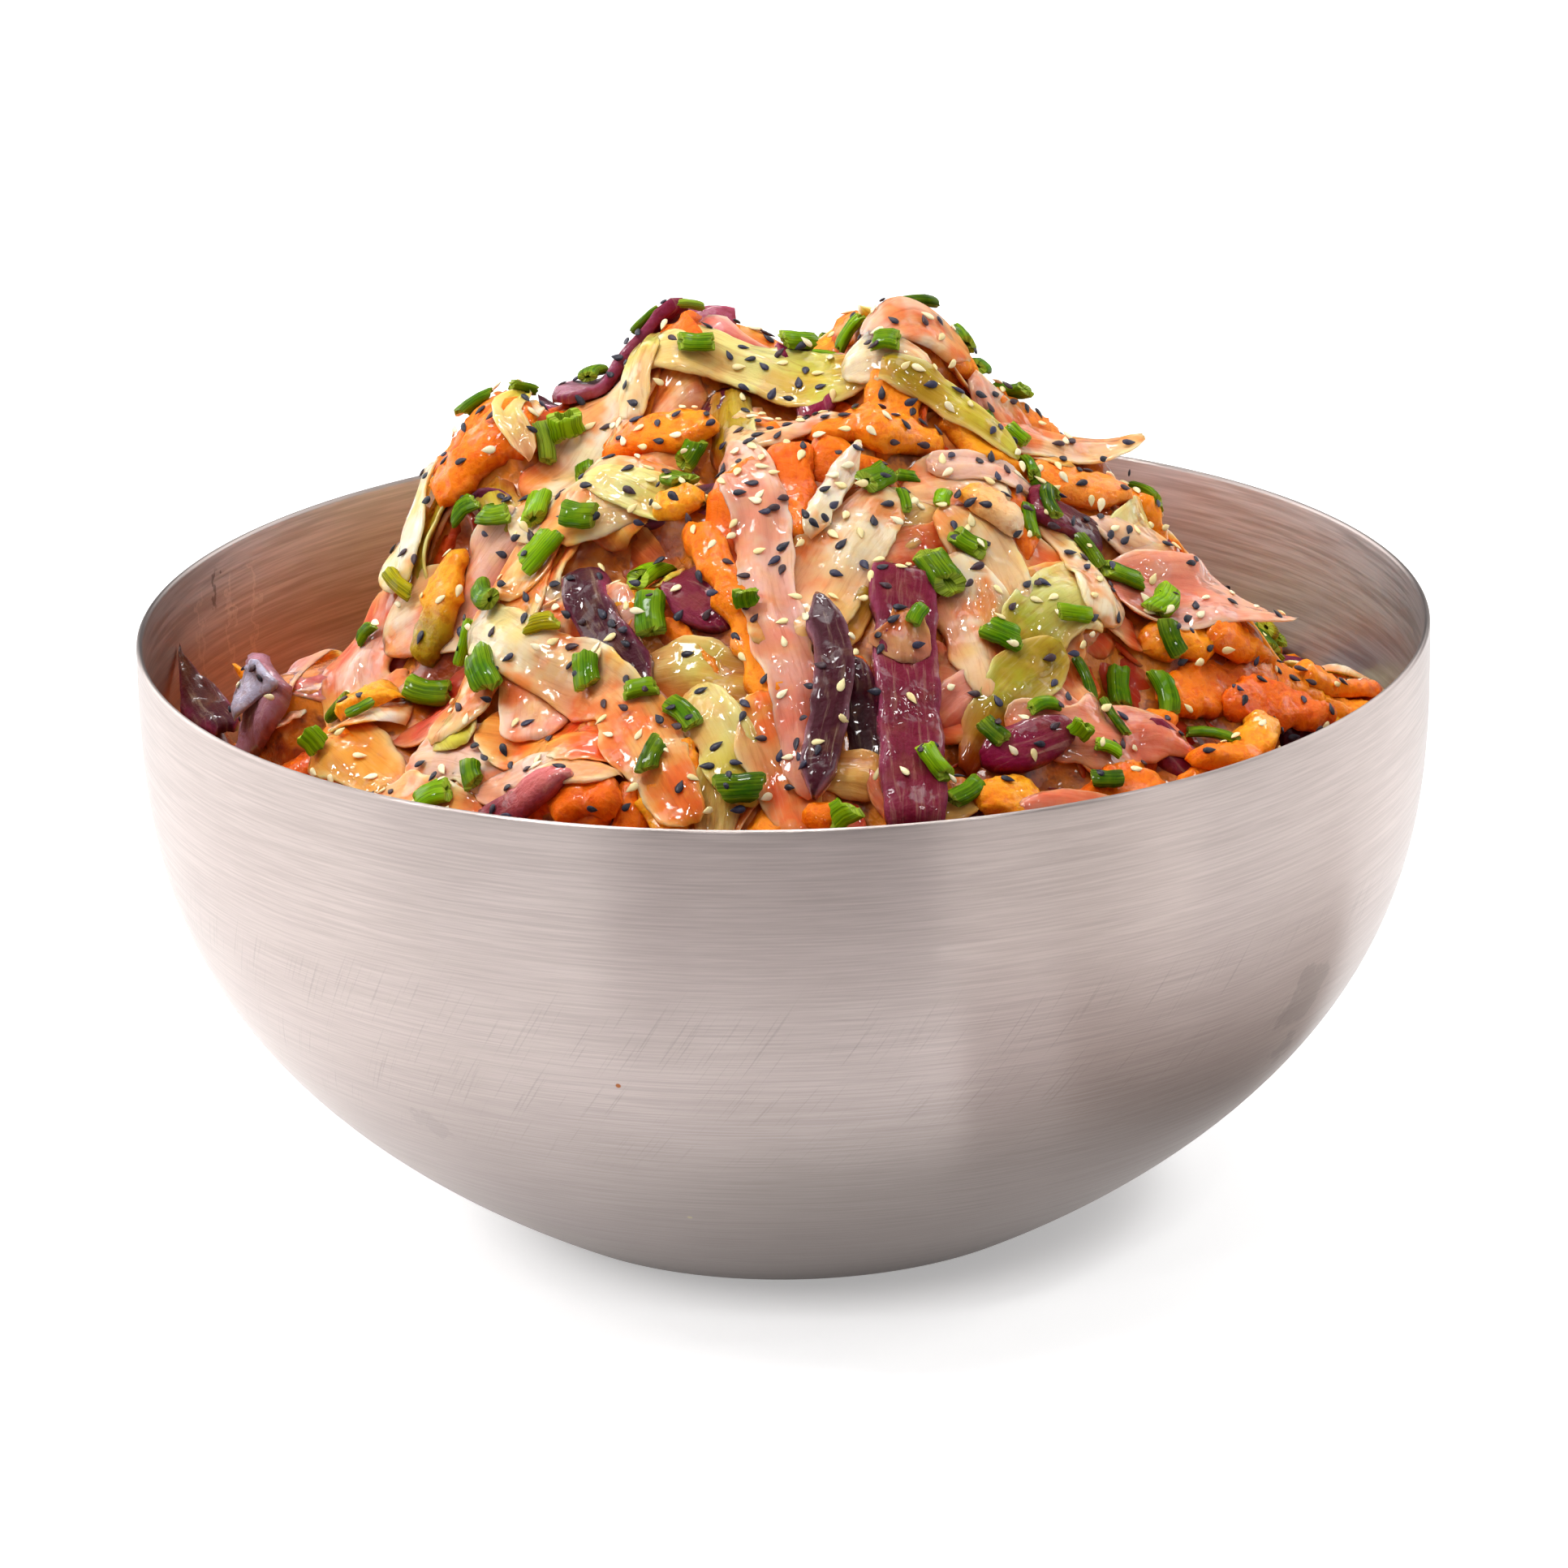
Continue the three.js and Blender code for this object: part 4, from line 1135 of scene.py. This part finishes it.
def steel_material():
    """Steel brushed round the bowl, with its scratches, smudges and flecks. All lengths are in metres."""
    s = Surface("brushed_steel")
    place = s.place()
    x, y, z = s.node("SeparateXYZ", {0: place}).outputs
    down = s.plus(s.math("SQRT", s.plus(s.times(x, x), s.times(y, y))), z)  # grows evenly up the curved side

    def at(x, y, z=0.0):
        return s.node("CombineXYZ", {"X": x, "Y": y, "Z": z}).outputs[0]

    def streaks(around, along, detail=3.0):
        return s.noise(at(s.times(x, around), s.times(y, around), s.times(down, along)), 1.0, detail, 0.65)

    fine, coarse = streaks(60.0, 2800.0), streaks(45.0, 1000.0, 2.0)
    inside = s.node("SeparateXYZ", {0: s.attribute("grain", "Vector")}).outputs[0]
    cloud = s.noise(place, 22.0, 3.0, 0.6)
    turned = s.times(s.math("ARCTAN2", x, s.times(y, -1.0)), 0.085)
    leaning = s.math("SUBTRACT", turned, s.times(down, 0.45))
    cross = s.noise(at(s.times(leaning, 2600.0), s.times(down, 60.0)), 1.0, 1.0, 0.5)
    belt = s.times(s.ramp(z, 0.03, 0.046), s.ramp(z, 0.074, 0.06))
    scratch = s.times(s.ramp(cross, 0.6, 0.74), belt)
    wander = s.times(s.math("SUBTRACT", s.noise(place, 260.0, 3.0, 0.6), 0.5), 0.012)

    def mark(centre, radius, most):
        """A share that is most within a radius of a point, with an uneven edge."""
        return s.ramp(s.plus(s.distance(centre), wander), radius, 0.8 * radius, 0.0, most)

    def fleck(*centre):
        return s.ramp(s.distance(centre), 0.0005, 0.0003, 0.0, 0.9)

    def gouge(azimuth, low, high, most):
        """A jagged line up the inside at an azimuth, in degrees, between two heights."""
        a = math.radians(azimuth)
        off = s.vector("DOT_PRODUCT", place, (math.cos(a), math.sin(a), 0), "Value")
        here = s.ramp(s.math("ABSOLUTE", s.plus(off, wander)), 0.0007, 0.0003, 0.0, most)
        height = s.times(s.ramp(z, low, low + 0.002), s.ramp(z, high, high - 0.002))
        side = s.math("GREATER_THAN", s.times(x, math.sin(a)), 0.0)
        return s.times(s.times(here, height), s.times(side, inside))

    shade = s.tinge("d2c6c4", "e6dad8", fine, 0.3, 0.7)
    smudges = mark((0.077, -0.052, 0.05), 0.0065, 0.26), mark((0.072, -0.046, 0.04), 0.0045, 0.3)
    for share, colour in (
        (s.times(s.ramp(coarse, 0.36, 0.6, 1.0, 0.0), s.ramp(inside, 0.0, 1.0, 0.1, 0.4)), "a89c98"),
        (s.ramp(cloud, 0.35, 0.7, 0.0, 0.14), "b8aca6"),
        (s.times(scratch, 0.22), "8c8480"),
        (s.math("MAXIMUM", *smudges), "8a8684"),
        (mark((-0.0546, -0.0682, 0.0377), 0.0035, 0.14), "8a8684"),
        (gouge(-114, 0.084, 0.092, 0.5), "4c403a"),
        *((gouge(azimuth, 0.07, 0.09, 0.3), "fff4ec") for azimuth in (-111, -117, -121)),
        (fleck(-0.0258, -0.0911, 0.0518), "b8640c"),
        (fleck(-0.016, -0.074, 0.024), "fff0c8"),
    ):
        shade = s.mix(share, shade, colour)
    relief = s.math("SUBTRACT", s.plus(s.times(fine, 0.7), s.times(coarse, 0.4)), scratch)
    return s.set(
        # The tint attribute carries the painted darkening of the outside and the painted reflection inside.
        Base_Color=s.seen_through(shade, s.attribute("tint", "Color")),
        Metallic=1.0,
        Roughness=s.ramp(coarse, 0.3, 0.7, 0.35, 0.41),
        Anisotropic=0.9,
        Anisotropic_Rotation=0.25,
        Tangent=s.node("Tangent", direction_type="RADIAL", axis="Z").outputs[0],
        Normal=s.bump(relief, 0.12, 0.00012),
    )


VEGETABLES = {  # name, veins, warmth, veil of dressing, scale and depth of the pits, gloss, glow
    "white_cabbage": ("white_cabbage_leaf", 0.35, 0.85, 0.25, 900.0, 0.3, 1.0, 0.7),
    "green_cabbage": ("green_cabbage_leaf", 0.45, 0.4, 0.15, 900.0, 0.3, 1.0, 0.4),
    "pink_cabbage": ("pink_cabbage_leaf", 0.35, 0.45, 0.15, 900.0, 0.3, 1.0, 0.7),
    "red_cabbage": ("red_cabbage_leaf", 0.5, 0.0, 0.04, 1100.0, 1.2, 0.9, 0.0),
    "carrot_shreds": ("carrot_flesh", 0.2, 0.1, 0.04, 750.0, 2.0, 0.55, 0.35),
}
SURFACES = {
    **{name: vegetable(*look) for name, look in VEGETABLES.items()},
    "chives": chive_material(),
    "black_sesame": seed_material("black_sesame_skin", "4a4658"),
    "white_sesame": seed_material("white_sesame_skin", "e2c37e"),
}
SHARP_FROM = {"chives": 50}  # degrees, on the cut ends

for name, kind in KINDS.items():
    kind.build(SURFACES[name], "slaw", "slaw", SHARP_FROM.get(name))
core.build(core_material(), "slaw", "slaw")
bowl.build(steel_material(), "steel", "bowl", 40)

# ---------------------------------------------------------------- floor, lights and camera


def stage_piece(name, corners, colour):
    """A flat matt sheet that isn't part of the object, and its surface."""
    mesh = bpy.data.meshes.new(name)
    mesh.from_pydata(corners, [], [range(len(corners))])
    s = Surface(name + "_paint")
    mesh.materials.append(s.set(Base_Color=(*colour, 1), Roughness=0.9, Specular_IOR_Level=0.0))
    piece = add_object(name, mesh)
    return piece, s


def floor_glow(s):
    """The floor's own light: least by the bowl's foot and on its right, so that the shadow stays there."""
    away = s.distance((0.006, 0, 0))
    glow = s.math("SUBTRACT", s.ramp(away, 0.041, 0.06, 0.34, 0.66), s.ramp(away, 0.09, 0.2, 0.0, 0.2))
    s.set(Emission_Color=(1, 1, 1, 1), Emission_Strength=glow)


def flag_corners(first, last, near, far):
    """A sheet just over the floor, between two azimuths and two distances from the bowl's axis, in metres."""
    turns = [math.radians(a) for a in (first, last)]
    ends = [(turns[0], near), (turns[1], near), (turns[1], far), (turns[0], far)]
    return [(r * math.sin(a), -r * math.cos(a), MM) for a, r in ends]


def softbox(name, azimuth, elevation, distance, size, radiance, spread=179, middle=(0, 0, 0.08)):
    """A rectangular area light that faces a point, with a grid that narrows it to a spread.

    Azimuth, elevation and spread are in degrees, azimuth 0 in front of the bowl and 90 on its right.
    """
    light = bpy.data.lights.new(name, "AREA")
    light.shape = "RECTANGLE"
    light.size, light.size_y = size
    half = math.radians(spread) / 2
    grid_loss = (math.tan(half) - half) / math.tan(half)  # the power shrinks so that the radiance stays
    light.energy = radiance * math.pi * size[0] * size[1] * grid_loss
    light.spread = 2 * half
    lamp = add_object(name, light)
    a, e = math.radians(azimuth), math.radians(elevation)
    away = Vector((math.sin(a) * math.cos(e), -math.cos(a) * math.cos(e), math.sin(e)))
    lamp.location = Vector(middle) + away * distance
    lamp.rotation_euler = away.to_track_quat("Z", "Y").to_euler()


FLOOR_HALF = 4.0
FLOOR_CORNERS = [(x * FLOOR_HALF, y * FLOOR_HALF, 0) for x, y in ((-1, -1), (1, -1), (1, 1), (-1, 1))]
floor_glow(stage_piece("floor", FLOOR_CORNERS, (0.85, 0.85, 0.85))[1])
# Sheets that only the steel mirrors, as painted reflections: the darker right one a painted shadow of the
# bowl on the floor, beside and middle glowing.
for name, colour, glow, corners in (
    ("front", (0.8, 0.77, 0.77), 0.0, flag_corners(-26, 23, 0.2, 1.4)),
    ("beside", (0.85, 0.82, 0.8), 0.75, flag_corners(23, 64, 0.24, 1.4)),
    ("middle", (0.8, 0.74, 0.72), 0.05, flag_corners(23, 38, 0.1, 0.2)),
    ("right", (0.6, 0.52, 0.48), 0.0, flag_corners(38, 100, 0.1, 0.2)),
):
    flag, paint = stage_piece("flag_" + name, corners, colour)
    paint.set(Emission_Color=(1, 1, 1, 1), Emission_Strength=glow)
    flag.visible_camera = flag.visible_shadow = False  # it only changes what the steel mirrors
softbox("key", -68, 62, 1.3, (0.34, 0.34), 30, 40)
SPARKS = [(-78, 42, 56), (-14, 44, 30), (12, 72, 44), (40, 50, 26), (76, 46, 30)]
for number, (azimuth, elevation, radiance) in enumerate(SPARKS):
    softbox(f"spark_{number}", azimuth, elevation, 1.3, (0.12, 0.12), radiance, 40)
softbox("top", 0, 90, 1.5, (1.8, 1.2), 3.9, 60, (0, 0.45, 0))
softbox("left", -112, 18, 1.1, (1.8, 0.7), 1.7)
softbox("right", 100, 16, 1.1, (1.7, 0.5), 1.1)
softbox("back_left", -140, 35, 1.2, (1.0, 0.8), 1.3)
softbox("back_right", 140, 35, 1.2, (1.0, 0.8), 1.4)
softbox("rim", 180, 62, 1.3, (0.5, 0.3), 20, 26, (0, 0.05, 0.1))

world = bpy.data.worlds.new("studio")
world.use_nodes = True
world.node_tree.nodes["Background"].inputs["Color"].default_value = (0.12, 0.12, 0.125, 1)
bpy.context.scene.world = world
bpy.context.scene.view_settings.view_transform = "Standard"

CAMERA_TARGET = (-0.4, 0.0, 67.0)  # the point of the object's axis that the camera looks at, in millimetres
CAMERA_DISTANCE = 1469.0
CAMERA_ELEVATION = math.radians(18.87)
CAMERA_ROLL = math.radians(-1.31)
LENS = 216.6  # on a 36 mm wide sensor


def camera_piece():
    camera = bpy.data.cameras.new("camera")
    camera.sensor_width = 36.0
    camera.lens = LENS
    camera.clip_end = 20.0
    c, s = math.cos(CAMERA_ELEVATION), math.sin(CAMERA_ELEVATION)
    back = Vector((0, -c, s))
    right, up = Vector((1, 0, 0)), Vector((0, s, c))
    rolled_right = right * math.cos(CAMERA_ROLL) + up * math.sin(CAMERA_ROLL)
    rolled_up = up * math.cos(CAMERA_ROLL) - right * math.sin(CAMERA_ROLL)
    turn = Matrix((rolled_right, rolled_up, back)).transposed().to_4x4()
    piece = add_object("camera", camera)
    piece.matrix_world = Matrix.Translation((Vector(CAMERA_TARGET) + back * CAMERA_DISTANCE) * MM) @ turn
    bpy.context.scene.camera = piece


camera_piece()

bpy.context.view_layer.update()
